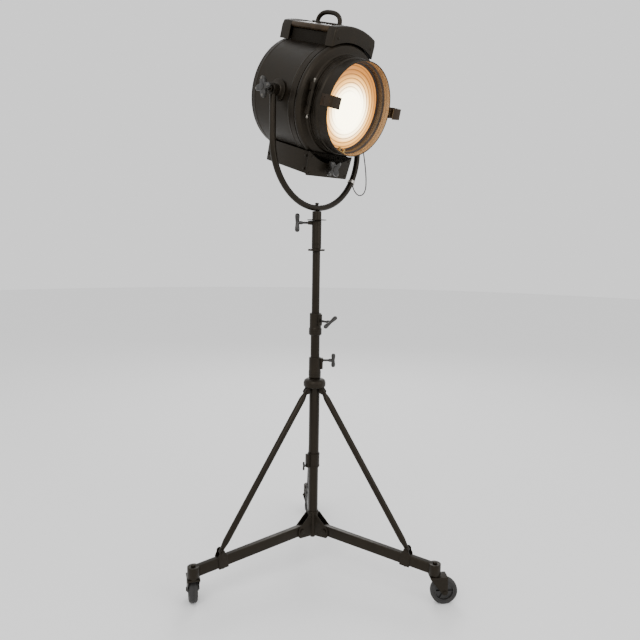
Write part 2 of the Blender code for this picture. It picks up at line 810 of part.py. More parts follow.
def make_drum(head):
    """The rolled drum, open to the vent above and to the base box below, and its back cover."""
    back, front = DRUM_BACK, DRUM_FRONT
    drum = piece(
        "drum_shell",
        moved(sleeve(DRUM_RADIUS - SKIN, DRUM_RADIUS, back, front, DRUM_STEPS), BEAM),
        PAINT,
        head,
    )
    cut(drum, moved(block((-0.080, 0.080), (0.15, 0.25), (-0.095, 0.070)), BEAM))
    cut(drum, moved(block((-0.055, 0.055), (-0.25, -0.15), (-0.090, 0.078)), BEAM))
    walls = [
        block((start, start + SKIN), (0.1760, VENT_EAVES - 0.016), (-0.1070, 0.0790))
        for start in (0.090, -0.090 - SKIN)
    ]
    join(drum, moved(together(*walls), BEAM))

    cover = [
        (0, back - 0.0220),
        (0.120, back - 0.0200),
        (0.185, back - 0.0130),
        (0.1985, back - 0.0075),
        (0.2005, back - GAP),
        (0.1960, back - GAP),
        (0.1830, back - 0.0090),
        (0.120, back - 0.0160),
        (0, back - 0.0180),
    ]
    piece("rear_cover", moved(turned(cover, DRUM_STEPS), BEAM), PAINT, head)
    gland = [
        (0.0050, back - 0.0580),
        (0.0090, back - 0.0580),
        (0.0115, back - 0.0370),
        (0.0150, back - 0.0350),
        (0.0150, back - 0.0212),
        (0, back - 0.0212),
        (0, back - 0.0290),
        (0.0050, back - 0.0290),
    ]
    piece("inlet_gland", moved(turned(gland, 14), BEAM, shift(z=-0.10)), PLASTIC, head)
    return drum


def cap_outline(inset=0.0):
    """A vent cap from the front: an arched top, straight sides and the drum's curve below."""
    half = VENT_HALF_WIDTH - inset
    radius = CAP_INNER_RADIUS + inset
    foot = math.degrees(math.acos(half / radius))
    outline = arc((0, 0), radius, 180 - foot, foot, 10)
    corner = 0.012
    outline += [(half, VENT_EAVES - inset - corner)]
    for step in range(-5, 6):
        x = -step / 5 * (half - corner * 0.4)
        rise = (VENT_RIDGE - VENT_EAVES) * math.cos(math.pi / 2 * x / half) ** 0.7
        outline.append((x, VENT_EAVES - inset + rise))
    outline += [(-half, VENT_EAVES - inset - corner)]
    return outline


def make_vent(head):
    """The chimney over the drum: a cast cap at each end and a rolled roof between them."""
    caps = (
        ("vent_front", 0.0795, 0.1175, 0.0745, 0.1135),
        ("vent_rear", -0.1580, -0.1080, -0.1540, -0.1000),
    )
    for name, low, high, hollow_low, hollow_high in caps:
        cap = piece(name, moved(prism(cap_outline(), low, high), BEAM), PAINT, head)
        cut(cap, moved(prism(cap_outline(0.0035), hollow_low, hollow_high), BEAM))
    side = VENT_HALF_WIDTH - 0.0085
    roll = (0.0045 - side, VENT_EAVES - 0.0040)
    eaves = VENT_EAVES + 0.0055
    ridge = []
    for step in range(7):
        across = step / 6
        rise = math.sin(math.pi / 2 * across) * (VENT_RIDGE - 0.0040 - eaves)
        ridge.append((side * (across - 1), eaves + rise))
    left = arc(roll, 0.0110, 260, 140, 5) + ridge
    under = arc(roll, 0.0085, 260, 140, 5) + [(x * 0.985, z - 0.0028) for x, z in ridge]
    top = left + [(-x, z) for x, z in reversed(left[:-1])]
    bottom = [(-x, z) for x, z in under[:-1]] + list(reversed(under))
    piece("vent_roof", moved(prism(top + bottom, -0.1075, 0.0790), BEAM), PAINT, head)


def make_handle(head):
    """A fixed rod handle along the beam, on a foot plate on the roof's ridge."""
    half, rise, middle = 0.056, 0.037, -0.033
    foot = VENT_RIDGE + 0.0010
    path = []
    for step in range(13):
        angle = math.pi * step / 12
        across = math.copysign(abs(math.cos(angle)) ** 0.8, -math.cos(angle))
        path.append((0.0, -(middle + half * across), foot + rise * math.sin(angle) ** 0.8))
    handle = piece("carry_handle", swept(path, 0.0080, (1, 0, 0), 8), PAINT, head)
    ends = (-middle - half - 0.0135, -middle + half + 0.0135)
    seat = VENT_RIDGE - 0.0035
    join(handle, block((-0.014, 0.014), ends, (seat, seat + 0.0070), 0.0015))
    return handle


def make_front(head):
    """The cast front ring with its rolled bead, and the hinge that the lens door hangs on."""
    profile = [
        (0.1880, 0.0890),
        (0.1965, 0.0890),
        (0.2010, 0.0935),
        (0.2025, 0.1010),
        (0.2005, 0.1090),
        (0.1940, 0.1160),
        (0.1700, 0.1190),
        (0.1665, 0.1230),
        (0.1660, 0.1305),
        (0.1520, 0.1305),
        (0.1520, 0.1130),
        (0.1860, 0.1080),
    ]
    ring = piece("front_ring", moved(turned(profile, DRUM_STEPS), BEAM), PAINT, head)
    leaf = [
        (HINGE_SIDE - 0.0035, -0.1225),
        (-0.1580, -0.1225),
        (-0.1580, -0.1275),
        (HINGE_SIDE + 0.0025, -0.1275),
        (HINGE_SIDE + 0.0025, -0.1350),
        (HINGE_SIDE - 0.0035, -0.1350),
    ]
    place = shift(x=HINGE_SIDE, y=-HINGE_FORWARD)
    for low, high in ((0.026, 0.052), (-0.052, -0.026)):
        join(ring, prism(leaf, low, high), moved(cylinder(0.0064, low, high, 10), place))
    cut(ring, moved(bore(0.0032, -0.06, 0.06), place))
    return ring


def make_head_bottom(head):
    """The base box that holds the focus slide, and its front plate."""
    outline = [(-0.108, -0.150), (-0.108, -0.172), (-0.104, BOX_FLOOR)]
    outline += [(-x, y) for x, y in reversed(outline)]
    inside = [(-0.105, -0.100), (-0.105, -0.172), (-0.1012, BOX_FLOOR + 0.003)]
    inside += [(-x, y) for x, y in reversed(inside)]
    box = piece("base_box", moved(prism(outline, BOX_BACK, BOX_FRONT), BEAM), PAINT, head)
    cut(box, moved(prism(inside, BOX_BACK + 0.003, BOX_FRONT - 0.003), BEAM))
    cut(box, moved(cylinder(CAP_INNER_RADIUS, -0.2, 0.2, DRUM_STEPS), BEAM))
    lift = shift(z=SCREW_HEIGHT)
    cut(box, moved(bore(0.0056, -0.3, 0.3), BEAM, lift))
    foot = math.degrees(math.acos(0.112 / CAP_INNER_RADIUS))
    front = arc((0, 0), CAP_INNER_RADIUS, 180 + foot, 360 - foot, 10)
    bottom = BOX_FLOOR - 0.0040
    front += [(0.112, -0.176), (0.106, bottom), (-0.106, bottom), (-0.112, -0.176)]
    plate = prism(front, BOX_FRONT + GAP, PLATE_FRONT)
    plate = piece("base_front_plate", moved(plate, BEAM), PAINT, head)
    join(plate, moved(cylinder(0.0080, PLATE_FRONT - 0.002, PLATE_FRONT + 0.0030), BEAM, lift))
    cut(plate, moved(bore(0.0056, -0.3, 0.3), BEAM, lift))
    return box, plate


def make_focus(head):
    """The knob and lead screw, and the carriage that they drive under the lamp and reflector."""
    axis = anchor("focus_axis", (0, 0, SCREW_HEIGHT), parent=head)
    seat = PLATE_FRONT + 0.0160
    piece("focus_screw", moved(cylinder(0.0050, -0.1035, seat + 0.0085), BEAM), BRIGHT_STEEL, axis)
    grip, stem, drill = lobed_knob(seat, 0.017, 0.021)
    knob = piece("focus_knob", moved(grip, about("Z", 45), BEAM), PLASTIC, axis)
    join(knob, moved(stem, BEAM))
    cut(knob, moved(drill, BEAM))

    travel = anchor("lamp_axis", (0, -LAMP_FORWARD, 0), parent=head)
    body = block((-0.030, 0.030), (-0.230, -0.195), (-0.030, 0.030), 0.002)
    carriage = piece("lamp_carriage", moved(body, BEAM), WORN_STEEL, travel)
    join(carriage, moved(block((-0.012, 0.012), (-0.200, -0.070), (-0.008, 0.008)), BEAM))
    join(carriage, cylinder(0.0220, -0.0760, -0.0560))
    join(carriage, moved(block((-0.010, 0.010), (-0.200, -0.0700), (-0.0290, -0.0255)), BEAM))
    cut(carriage, moved(bore(0.0056, -0.1, 0.1), BEAM, shift(z=SCREW_HEIGHT)))
    bulb = [(0, -0.0555), (0.0130, -0.0555), (0.0130, -0.0400), (0.0190, -0.0300), (0.0190, 0.0180)]
    bulb += arc((0, 0.0180), 0.0190, 20, 90, 4)[:-1] + [(0, 0.0370)]
    piece("lamp_bulb", turned(bulb, 16), GLASS, travel)
    inner, outer = 0.0700, 0.0720
    shell = arc((0, 0), outer, -90, -26, 5) + arc((0, 0), inner, -26, -90, 5)
    shell = [(max(radius, 0.0), height) for radius, height in shell]
    shell[0] = (0.0, -outer)
    shell[-1] = (0.0, -inner)
    piece("reflector", moved(turned(shell, 20), BEAM), MIRROR, travel)


def make_door(head):
    """The lens door, in the frame of its upright hinge: barrel, stepped lens and accessory clips."""
    hinge = anchor("door_axis", (HINGE_SIDE, -HINGE_FORWARD, 0), parent=head)
    home = shift(x=-HINGE_SIDE, y=HINGE_FORWARD)
    barrel = [
        (0.1490, DOOR_BACK),
        (0.1650, DOOR_BACK),
        (0.1650, 0.1640),
        (0.1615, 0.1680),
        (0.1610, DOOR_FRONT),
        (0.1572, DOOR_FRONT),
        (0.1570, 0.1820),
        (0.1508, 0.1780),
        (0.1505, 0.1585),
        (0.1435, 0.1565),
        (0.1435, 0.1535),
        (0.1490, 0.1535),
    ]
    door = piece("lens_door", moved(turned(barrel, DRUM_STEPS), BEAM, home), PAINT, hinge)
    leaf = block((0.0015, 0.0110), (-0.0030, 0.0010), (-0.0255, 0.0255))
    join(door, leaf, cylinder(0.0064, -0.0255, 0.0255, 10))
    cut(door, bore(0.0032, -0.06, 0.06))
    rod = [(0, -0.0660), (0.0040, -0.0645), (0.0052, -0.0605), (0.0040, -0.0565), (0.0028, -0.0550)]
    rod += [(radius, -height) for radius, height in reversed(rod)]
    piece("hinge_rod", turned(rod, 10), BRIGHT_STEEL, hinge)

    steps = []
    rings = 4
    for number in range(rings):
        outer = 0.1400 * (1 - number / rings)
        inner = 0.1400 * (1 - (number + 1) / rings)
        rise = 0.0015 + 0.10 * (outer**2 - inner**2)
        steps += [(outer, 0.1500), (max(inner, 0.0), 0.1500 + rise)]
    lens = [(0, 0.1440), (LENS_RADIUS, 0.1440), (LENS_RADIUS, 0.1530), (0.1405, 0.1530)] + steps
    piece("fresnel_lens", moved(turned(lens, 32), BEAM, home), GLASS, hinge)
    make_clips(hinge, home)


def make_clips(hinge, home):
    """C-shaped clips on the door's rim, and a pair of stops at the bottom of its mouth."""
    foot, web, lip = 0.1620, 0.1800, 0.1400
    outline = [
        (foot, 0.1760),
        (foot + 0.003, 0.1760),
        (foot + 0.003, 0.2085),
        (web, 0.2085),
        (web + 0.003, 0.2115),
        (web + 0.003, 0.2420),
        (web, 0.2450),
        (lip, 0.2450),
        (lip, 0.2420),
        (web, 0.2420),
        (web, 0.2115),
        (foot, 0.2115),
    ]
    for name, side, lean in (("clip_right", 1, -5), ("clip_left", -1, 2)):
        shape = prism([(side * x, -forward) for x, forward in outline], -0.0190, 0.0190)
        piece(name, moved(shape, about("Y", lean), home), PAINT, hinge)
    base = block((-0.018, 0.018), (-0.1545, -0.1520), (0.1880, 0.2060))
    stops = piece("clip_lower", moved(base, BEAM, about("Y", 13), home), BRIGHT_STEEL, hinge)
    posts = [
        block((middle - 0.0035, middle + 0.0035), (-0.1530, -0.1400), (0.1940, 0.2010))
        for middle in (-0.012, 0.012)
    ]
    join(stops, moved(together(*posts), BEAM, about("Y", 13), home))


def build():
    clear_scene()
    make_hub()
    for number, degrees in LEG_ANGLES.items():
        make_leg(number, degrees)
        make_caster(number, degrees)
        make_brace(number, degrees)
    make_outer_tube()
    make_risers()
    make_locks()
    pan = make_pan()
    make_yoke(pan)
    make_tether(pan)
    head = anchor("tilt_axis", (0, 0, TILT_HEIGHT), (HEAD_TIP, 0, 0), pan)
    make_trunnions(head)
    make_tilt_knob(head)
    make_drum(head)
    make_vent(head)
    make_handle(head)
    make_front(head)
    make_head_bottom(head)
    make_focus(head)
    make_door(head)


build()
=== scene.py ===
"""Finished surfaces, materials and stage for a studio spotlight on a folding rolling stand."""

import json
import math

import bmesh
import bpy
import numpy as np
from bpy.props import FloatProperty, FloatVectorProperty, IntProperty, PointerProperty
from mathutils import Matrix


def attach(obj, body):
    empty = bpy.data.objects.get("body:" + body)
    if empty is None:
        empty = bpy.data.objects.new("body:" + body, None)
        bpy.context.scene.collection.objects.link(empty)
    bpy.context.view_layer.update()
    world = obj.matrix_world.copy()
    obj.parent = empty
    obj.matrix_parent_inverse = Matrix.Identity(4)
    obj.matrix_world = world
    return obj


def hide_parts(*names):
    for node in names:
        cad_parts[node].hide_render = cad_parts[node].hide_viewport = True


bl_info = {
    "name": "Studio Spotlight",
    "version": (1, 0, 0),
    "blender": (4, 5, 0),
    "location": "3D View > Sidebar > Spotlight",
    "description": "Builds the finished surfaces of a studio spotlight on its rolling stand",
    "category": "Object",
}

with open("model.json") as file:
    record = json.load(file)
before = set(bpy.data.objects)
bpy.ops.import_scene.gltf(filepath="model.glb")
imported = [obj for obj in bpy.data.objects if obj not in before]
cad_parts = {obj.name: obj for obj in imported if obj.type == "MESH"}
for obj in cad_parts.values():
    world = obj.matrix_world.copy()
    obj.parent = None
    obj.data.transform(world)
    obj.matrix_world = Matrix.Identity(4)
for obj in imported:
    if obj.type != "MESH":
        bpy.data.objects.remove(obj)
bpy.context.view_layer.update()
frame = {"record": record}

TAU = 2 * math.pi
BODY = {node: body for body, nodes in frame["record"]["behaviour"]["bodies"].items() for node in nodes}

# Stand
LEG_ANGLES = {"1": 166.5, "2": -73.5, "3": 46.5}
CASTER_ANGLES = {"1": 60, "2": -42, "3": 30}
HUB_RADIUS = 0.058
HUB_HEIGHT = 0.180
LEG_REACH = 0.447
LEG_SLOPE = math.atan2(0.047, LEG_REACH)
LEG_HALF_WIDTH = 0.0125
LEG_HALF_HEIGHT = 0.0200
SADDLE_ALONG = 0.338
SADDLE_ABOVE = 0.038
WHEEL_RADIUS = 0.050
CASTER_TRAIL = 0.036
BRACE_PIVOT = (0.036, 0.739)
LOCKS = {
    "leg_lock_handle": (0.440, 166.5, 0.0193, 0.0455, 0.034, 0.0032, 0.0042, 0),
    "lower_lock_handle": (0.857, -46, 0.0178, 0.071, 0.055, 0.0045, 0.0080, 8),
    "upper_lock_handle": (1.012, -88, 0.0153, 0.076, 0.075, 0.0045, 0.0080, -63),
    "pan_lock_handle": (1.381, 134, 0.0085, 0.073, 0.070, 0.0045, 0.0090, 6),
}

# Yoke and head
YOKE_BOTTOM = 1.436
YOKE_HALF_WIDTH = 0.225
YOKE_ROD = 0.0113
BOSS_END = YOKE_HALF_WIDTH + 0.0115
TETHER_TOP = 1.768
TILT_HEIGHT = 1.828
HEAD_TIP = math.radians(17)
DRUM_RADIUS = 0.200
DRUM_BACK = -0.136
DRUM_FRONT = 0.0885
VENT_HALF_WIDTH = 0.106
VENT_EAVES = 0.233
VENT_RIDGE = 0.256
CAP_INNER_RADIUS = 0.2045
BOX_FLOOR = -0.252
BOX_BACK = -0.098
BOX_FRONT = 0.120
PLATE_FRONT = 0.128
SCREW_HEIGHT = -0.218
HINGE_SIDE = -0.173
HINGE_FORWARD = 0.138
LAMP_FORWARD = -0.020

HEAD = Matrix.Translation((0, 0, TILT_HEIGHT)) @ Matrix.Rotation(HEAD_TIP, 4, "X")
BEAM = HEAD @ Matrix.Rotation(math.radians(90), 4, "X")  # turns +Z to the beam's direction
SIDEWAYS = Matrix.Rotation(math.radians(90), 4, "Y")  # turns +Z to +X
CROSSWAYS = Matrix.Rotation(math.radians(-90), 4, "X")  # turns +Z to +Y
UPRIGHT = Matrix.Rotation(math.radians(90), 4, "X")  # turns an (x, y) outline to (x, z)


class SpotlightSettings(bpy.types.PropertyGroup):
    """Sizes and colours that a user may change before building."""

    round_steps: IntProperty(
        name="Round steps",
        description="Number of faces round a turned piece",
        default=72,
        min=16,
        max=200,
    )
    edge: FloatProperty(
        name="Edge softness",
        description="Radius of the rounding along the edges of plates and castings",
        default=0.0011,
        min=0.0001,
        max=0.003,
        unit="LENGTH",
    )
    lens_rings: IntProperty(
        name="Lens rings",
        description="Number of steps across the lens from its middle to its rim",
        default=10,
        min=4,
        max=30,
    )
    paint_colour: FloatVectorProperty(
        name="Paint",
        description="Colour of the satin paint on the head and the stand",
        default=(0.0056, 0.0042, 0.0027),
        size=3,
        min=0.0,
        max=1.0,
        subtype="COLOR",
    )
    glow_middle: FloatVectorProperty(
        name="Glow, middle",
        description="Colour of the light in the middle of the lens",
        default=(1.0, 0.90, 0.62),
        size=3,
        min=0.0,
        max=1.0,
        subtype="COLOR",
    )
    glow_rim: FloatVectorProperty(
        name="Glow, rim",
        description="Colour of the light at the rim of the lens",
        default=(0.125, 0.046, 0.0080),
        size=3,
        min=0.0,
        max=1.0,
        subtype="COLOR",
    )
    glow_strength: FloatProperty(
        name="Glow strength",
        description="Strength of the light that leaves the lens",
        default=9.0,
        min=0.0,
        max=50.0,
    )
    light_power: FloatProperty(
        name="Studio light",
        description="Power of the large soft light over the stage",
        default=70.0,
        min=0.0,
        max=2000.0,
        unit="POWER",
    )
    floor_colour: FloatVectorProperty(
        name="Floor",
        description="Colour of the stage's floor",
        default=(0.88, 0.88, 0.88),
        size=3,
        min=0.0,
        max=1.0,
        subtype="COLOR",
    )


def settings():
    return bpy.context.scene.spotlight_settings


# Shapes: each is (points, faces), with points as an array of rows (x, y, z)


def placed(form, *matrices):
    """The form after each matrix in turn: p becomes M p."""
    points, faces = form
    for matrix in matrices:
        rows = np.array(matrix)
        points = points @ rows[:3, :3].T + rows[:3, 3]
    return points, faces


def shift(x=0.0, y=0.0, z=0.0):
    return Matrix.Translation((x, y, z))


def about(axis, degrees):
    return Matrix.Rotation(math.radians(degrees), 4, axis)


def quads(rows, columns, wrap_rows=False):
    """Faces between neighbours on a grid whose columns meet again after the last one."""
    row, column = np.meshgrid(
        np.arange(rows if wrap_rows else rows - 1), np.arange(columns), indexing="ij"
    )
    below, beside = (row + 1) % rows, (column + 1) % columns
    corners = (
        row * columns + column,
        row * columns + beside,
        below * columns + beside,
        below * columns + column,
    )
    return np.stack(corners, -1).reshape(-1, 4).tolist()


def rounded(outline, radius, steps=3, ends_kept=False):
    """Softens each corner P to (1-t)^2 A + 2t(1-t) P + t^2 B, with A and B a radius away along its sides."""
    corner = np.asarray(outline, float)
    before, after = np.roll(corner, 1, 0), np.roll(corner, -1, 0)
    if ends_kept:
        before[0], after[-1] = corner[0], corner[-1]

    def towards(other):
        gap = other - corner
        length = np.maximum(np.linalg.norm(gap, axis=1, keepdims=True), 1e-9)
        return (corner + gap * np.minimum(radius / length, 0.45))[:, None]

    t = np.linspace(0, 1, steps + 1)[None, :, None]
    curve = (1 - t) ** 2 * towards(before) + 2 * t * (1 - t) * corner[:, None]
    return (curve + t**2 * towards(after)).reshape(-1, corner.shape[1])


def lathe(profile, steps=0, soft=0.0006):
    """A profile point (r, h) goes to (r cos t, r sin t, h) for t once round; it is open on the axis."""
    steps = steps or settings().round_steps
    on_axis = profile[0][0] == 0
    r, h = rounded(profile, soft, ends_kept=on_axis).T[:, :, None]
    t = np.linspace(0, TAU, steps, endpoint=False)[None, :]
    grid = np.stack([r * np.cos(t), r * np.sin(t), h + 0 * t], -1)
    return grid.reshape(-1, 3), quads(len(r), steps, wrap_rows=not on_axis)


def inset(outline, distance):
    """Moves each point of a closed outline inwards along its normal by a distance."""
    along = np.roll(outline, -1, 0) - np.roll(outline, 1, 0)
    along = along / np.maximum(np.linalg.norm(along, axis=1, keepdims=True), 1e-9)
    x, y = outline.T
    area = np.sum(x * np.roll(y, -1) - np.roll(x, -1) * y)
    inwards = np.stack([-along[:, 1], along[:, 0]], 1) * np.sign(area)
    return outline + inwards * distance


def loft(sections):
    """A skin through closed sections of equal length, with a flat face on the first and the last."""
    rows, columns = len(sections), len(sections[0])
    faces = quads(rows, columns)
    faces.append(list(range(columns)))
    faces.append(list(range((rows - 1) * columns, rows * columns)))
    return np.concatenate(sections), faces


def at_height(outline, height):
    return np.column_stack([outline, np.full(len(outline), height)])


def plate(outline, low, high, edge=None, corner=None):
    """An outline carried from low to high; its rims follow inset e(1 - sin a), rise e(1 - cos a)."""
    edge = settings().edge if edge is None else edge
    outline = rounded(outline, edge if corner is None else corner)
    turn = np.radians([0.0, 30.0, 60.0, 90.0])
    rims = list(zip(edge * (1 - np.sin(turn)), edge * (1 - np.cos(turn)), strict=True))
    sections = [at_height(inset(outline, inwards), low + rise) for inwards, rise in rims]
    sections += [at_height(inset(outline, inwards), high - rise) for inwards, rise in reversed(rims)]
    return loft(sections)


def block(x_range, y_range, z_range, edge=None):
    (x0, x1), (y0, y1) = x_range, y_range
    return plate([(x0, y0), (x1, y0), (x1, y1), (x0, y1)], *z_range, edge)


def rod(path, radius, side, sides=24):
    """A circle carried along a flat path: p + r (n cos t + s sin t), with s normal to the path's plane."""
    path = np.asarray(path, float)
    side = np.asarray(side, float)
    along = np.gradient(path, axis=0)
    across = np.cross(along, side)
    across /= np.linalg.norm(across, axis=1, keepdims=True)
    t = np.linspace(0, TAU, sides, endpoint=False)[None, :, None]
    ring = across[:, None] * np.cos(t) + side * np.sin(t)
    shrink = np.array([0.55, 0.85, 1.0])
    step = along / np.linalg.norm(along, axis=1, keepdims=True)
    tips = np.array([0.0, 0.12, 0.35]) * radius
    first = path[0] + tips[:, None] * step[0]
    last = path[-1] - tips[::-1, None] * step[-1]
    middle = np.concatenate([first, path[1:-1], last])
    ring = np.concatenate([ring[[0] * 3], ring[1:-1], ring[[-1] * 3]])
    scale = np.concatenate([shrink, np.ones(len(path) - 2), shrink[::-1]])
    grid = middle[:, None] + radius * scale[:, None, None] * ring
    return loft(list(grid))


def arc(centre, radius, start, end, steps):
    angle = np.radians(np.linspace(start, end, steps + 1))
    x, y = centre
    return np.column_stack([x + radius * np.cos(angle), y + radius * np.sin(angle)])


def hexagon(radius):
    return arc((0, 0), radius, 0, 300, 5)


def bolt(radius, height):
    """A six-sided head on a thin washer, standing on z = 0."""
    washer = lathe([(0, 0), (radius * 1.25, 0), (radius * 1.25, 0.0008), (0, 0.0008)], 32, 0.0003)
    return [washer, plate(hexagon(radius), 0.0007, height, 0.0005, 0.0003)]


def screw(radius, height):
    """A round head: r = R cos a, z = h sin a."""
    angle = np.radians(np.linspace(90, 0, 8))
    dome = [(radius * math.cos(a), height * (0.35 + 0.65 * math.sin(a))) for a in angle]
    dome[0] = (0.0, height)
    return [lathe([*dome, (radius, 0), (0, 0)], 32, 0.0002)]


def pin(radius, head, inside, outside):
    """A pin along Y, with a rounded head beyond inside on each side."""
    profile = [(0, -outside), (head, -outside), (head, -inside), (radius, -inside)]
    profile += [(r, -h) for r, h in reversed(profile)]
    return placed(lathe(profile, 36, 0.0009), CROSSWAYS)


def make(node, forms, finish, also=None, crease=38):
    """One object from several forms that stands for a node, or also stands beside it by its own name."""
    name = also or f"{node}_skin"
    starts = np.cumsum([0] + [len(points) for points, _ in forms])
    faces = [
        [corner + int(start) for corner in face]
        for (_, group), start in zip(forms, starts, strict=False)
        for face in group
    ]
    data = bpy.data.meshes.new(name)
    data.from_pydata(np.concatenate([points for points, _ in forms]).tolist(), [], faces)
    work = bmesh.new()
    work.from_mesh(data)
    bmesh.ops.remove_doubles(work, verts=work.verts[:], dist=2e-6)
    bmesh.ops.recalc_face_normals(work, faces=work.faces[:])
    work.to_mesh(data)
    work.free()
    data.shade_smooth()
    data.set_sharp_from_angle(angle=math.radians(crease))
    data.materials.append(finishes()[finish])
    made = bpy.data.objects.new(name, data)
    bpy.context.scene.collection.objects.link(made)
    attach(made, BODY[node])
    if not also:
        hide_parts(node)


# Finishes


class Wire:
    """A shader value; sums, products and powers of it add their own nodes."""

    def __init__(self, finish, socket):
        self.finish = finish
        self.socket = socket

    def __add__(self, other):
        return self.finish.maths("ADD", self, other)

    __radd__ = __add__

    def __mul__(self, other):
        return self.finish.maths("MULTIPLY", self, other)

    __rmul__ = __mul__

    def __sub__(self, other):
        return self.finish.maths("SUBTRACT", self, other)

    def __rsub__(self, other):
        return self.finish.maths("SUBTRACT", other, self)

    def __pow__(self, other):
        return self.finish.maths("POWER", self, other)


class Finish:
    """A material being wired: its tree, its shader and its pattern coordinates."""

    def __init__(self, name):
        self.material = bpy.data.materials.new(name)
        self.material.use_nodes = True
        self.tree = self.material.node_tree
        self.shader = self.tree.nodes["Principled BSDF"]
        self.place = self.node("ShaderNodeTexCoord", output="Object")

    def feed(self, target, value):
        if isinstance(value, Wire):
            self.tree.links.new(value.socket, target)
        else:
            target.default_value = value

    def node(self, kind, output=0, settings=None, **sockets):
        """Any node: its settings are made first, then each socket gets its value or link."""
        made = self.tree.nodes.new(kind)
        for key, value in (settings or {}).items():
            setattr(made, key, value)
        for key, value in sockets.items():
            if key.startswith("input_"):
                self.feed(made.inputs[int(key[6:])], value)
            else:
                self.feed(made.inputs[key.replace("_", " ")], value)
        return Wire(self, made.outputs[output])

    def maths(self, operation, *values):
        inputs = {f"input_{index}": value for index, value in enumerate(values)}
        return self.node("ShaderNodeMath", settings={"operation": operation}, **inputs)

    def noise(self, scale, detail=3.0, roughness=0.55, place=None):
        return self.node(
            "ShaderNodeTexNoise",
            Vector=place or self.place,
            Scale=scale,
            Detail=detail,
            Roughness=roughness,
        )

    def stretch(self, scale, location=(0, 0, 0), rotation=(0, 0, 0), inverse=False):
        return self.node(
            "ShaderNodeMapping",
            settings={"vector_type": "TEXTURE" if inverse else "POINT"},
            Vector=self.place,
            Location=location,
            Rotation=rotation,
            Scale=scale,
        )

    def ramp(self, value, low, high):
        """A smooth step from 0 at low to 1 at high."""
        return self.node(
            "ShaderNodeMapRange",
            settings={"interpolation_type": "SMOOTHSTEP"},
            Value=value,
            From_Min=low,
            From_Max=high,
        )

    def blend(self, amount, first, second):
        """A colour mixed from first to second."""
        colours = [(*c, 1.0) if isinstance(c, tuple) else c for c in (first, second)]
        return self.node(
            "ShaderNodeMix",
            output=2,
            settings={"data_type": "RGBA"},
            input_0=amount,
            input_6=colours[0],
            input_7=colours[1],
        )

    def axis(self, vector, letter):
        return self.node("ShaderNodeSeparateXYZ", output=letter, Vector=vector)

    def bump(self, height, strength, distance):
        return self.node("ShaderNodeBump", Strength=strength, Distance=distance, Height=height)

    def finished(self, **sockets):
        for key, value in sockets.items():
            self.feed(self.shader.inputs[key.replace("_", " ")], value)
        return self.material


def scaled(colour, factor, warm=0.0):
    red, green, blue = colour
    return (red * factor * (1 + warm), green * factor, blue * factor * (1 - warm))


def paint(name, colour, gloss=0.40, peel=220.0, dust=0.35):
    """Satin paint: orange-peel bump, cloudy gloss, faint dust and small scuffs to a browner coat."""
    finish = Finish(name)
    cloud = finish.noise(7.0, 4.0, 0.6)
    grain = finish.noise(peel, 2.0)
    speck = finish.noise(1100.0, 1.0)
    scuff = finish.ramp(finish.noise(75.0, 5.0, 0.7), 0.635, 0.70)
    powder = finish.ramp(finish.noise(22.0, 6.0, 0.65), 0.46, 0.72)
    coat = finish.blend(finish.ramp(cloud, 0.35, 0.65), scaled(colour, 0.80), scaled(colour, 1.18, 0.05))
    coat = finish.blend(powder * dust, coat, scaled(colour, 2.6, 0.06))
    coat = finish.blend(scuff * 0.5, coat, scaled(colour, 4.5, 0.12))
    rough = gloss + (cloud - 0.5) * 0.22 + powder * 0.10 + scuff * 0.12
    height = grain * 0.7 + speck * 0.3 - scuff * 0.5
    return finish.finished(
        Base_Color=coat,
        Roughness=rough,
        Specular_IOR_Level=0.24,
        Specular_Tint=(1.0, 0.88, 0.72, 1.0),
        Normal=finish.bump(height, 0.22, 0.0006),
    )


def bare_metal(name, colour, rough=0.30, grain=(260.0, 260.0, 12.0), stain=0.5):
    """Bare metal: fine drawn lines along one axis, with dull brown stains between bright areas."""
    finish = Finish(name)
    lines = finish.noise(3.0, 3.0, place=finish.stretch(grain))
    cloud = finish.ramp(finish.noise(38.0, 5.0, 0.65), 0.42, 0.70)
    coat = finish.blend(lines, scaled(colour, 0.82), scaled(colour, 1.10))
    coat = finish.blend(cloud * stain, coat, scaled(colour, 0.30, 0.15))
    return finish.finished(
        Base_Color=coat,
        Metallic=1.0 - cloud * stain * 0.6,
        Roughness=rough + (lines - 0.5) * 0.20 + cloud * 0.25,
        Normal=finish.bump(lines, 0.12, 0.0003),
    )


def moulded(name, colour, rough=0.5, pebble=420.0, strength=0.25):
    """Moulded plastic or rubber: pebbled bump, hazy bloom and rubbed lighter patches."""
    finish = Finish(name)
    grain = finish.noise(pebble, 2.0)
    bloom = finish.ramp(finish.noise(30.0, 5.0, 0.7), 0.45, 0.75)
    coat = finish.blend(bloom * 0.6, colour, scaled(colour, 2.3, 0.05))
    return finish.finished(
        Base_Color=coat,
        Roughness=rough + (grain - 0.5) * 0.12 + bloom * 0.12,
        Normal=finish.bump(grain, strength, 0.0006),
    )


def woven_sheath(name, colour):
    """A smooth sheath over laid rope: slanting ridges at half a centimetre, lighter on their crests and
    darker between them.
    """
    finish = Finish(name)
    height = finish.axis(finish.place, "Z")
    ridge = finish.maths("SINE", height * 1500.0 + finish.noise(60.0) * 4.0) * 0.5 + 0.5
    coat = finish.blend(ridge, scaled(colour, 0.6), scaled(colour, 1.5))
    return finish.finished(
        Base_Color=coat, Roughness=0.62 - ridge * 0.15, Normal=finish.bump(ridge, 0.4, 0.0005)
    )


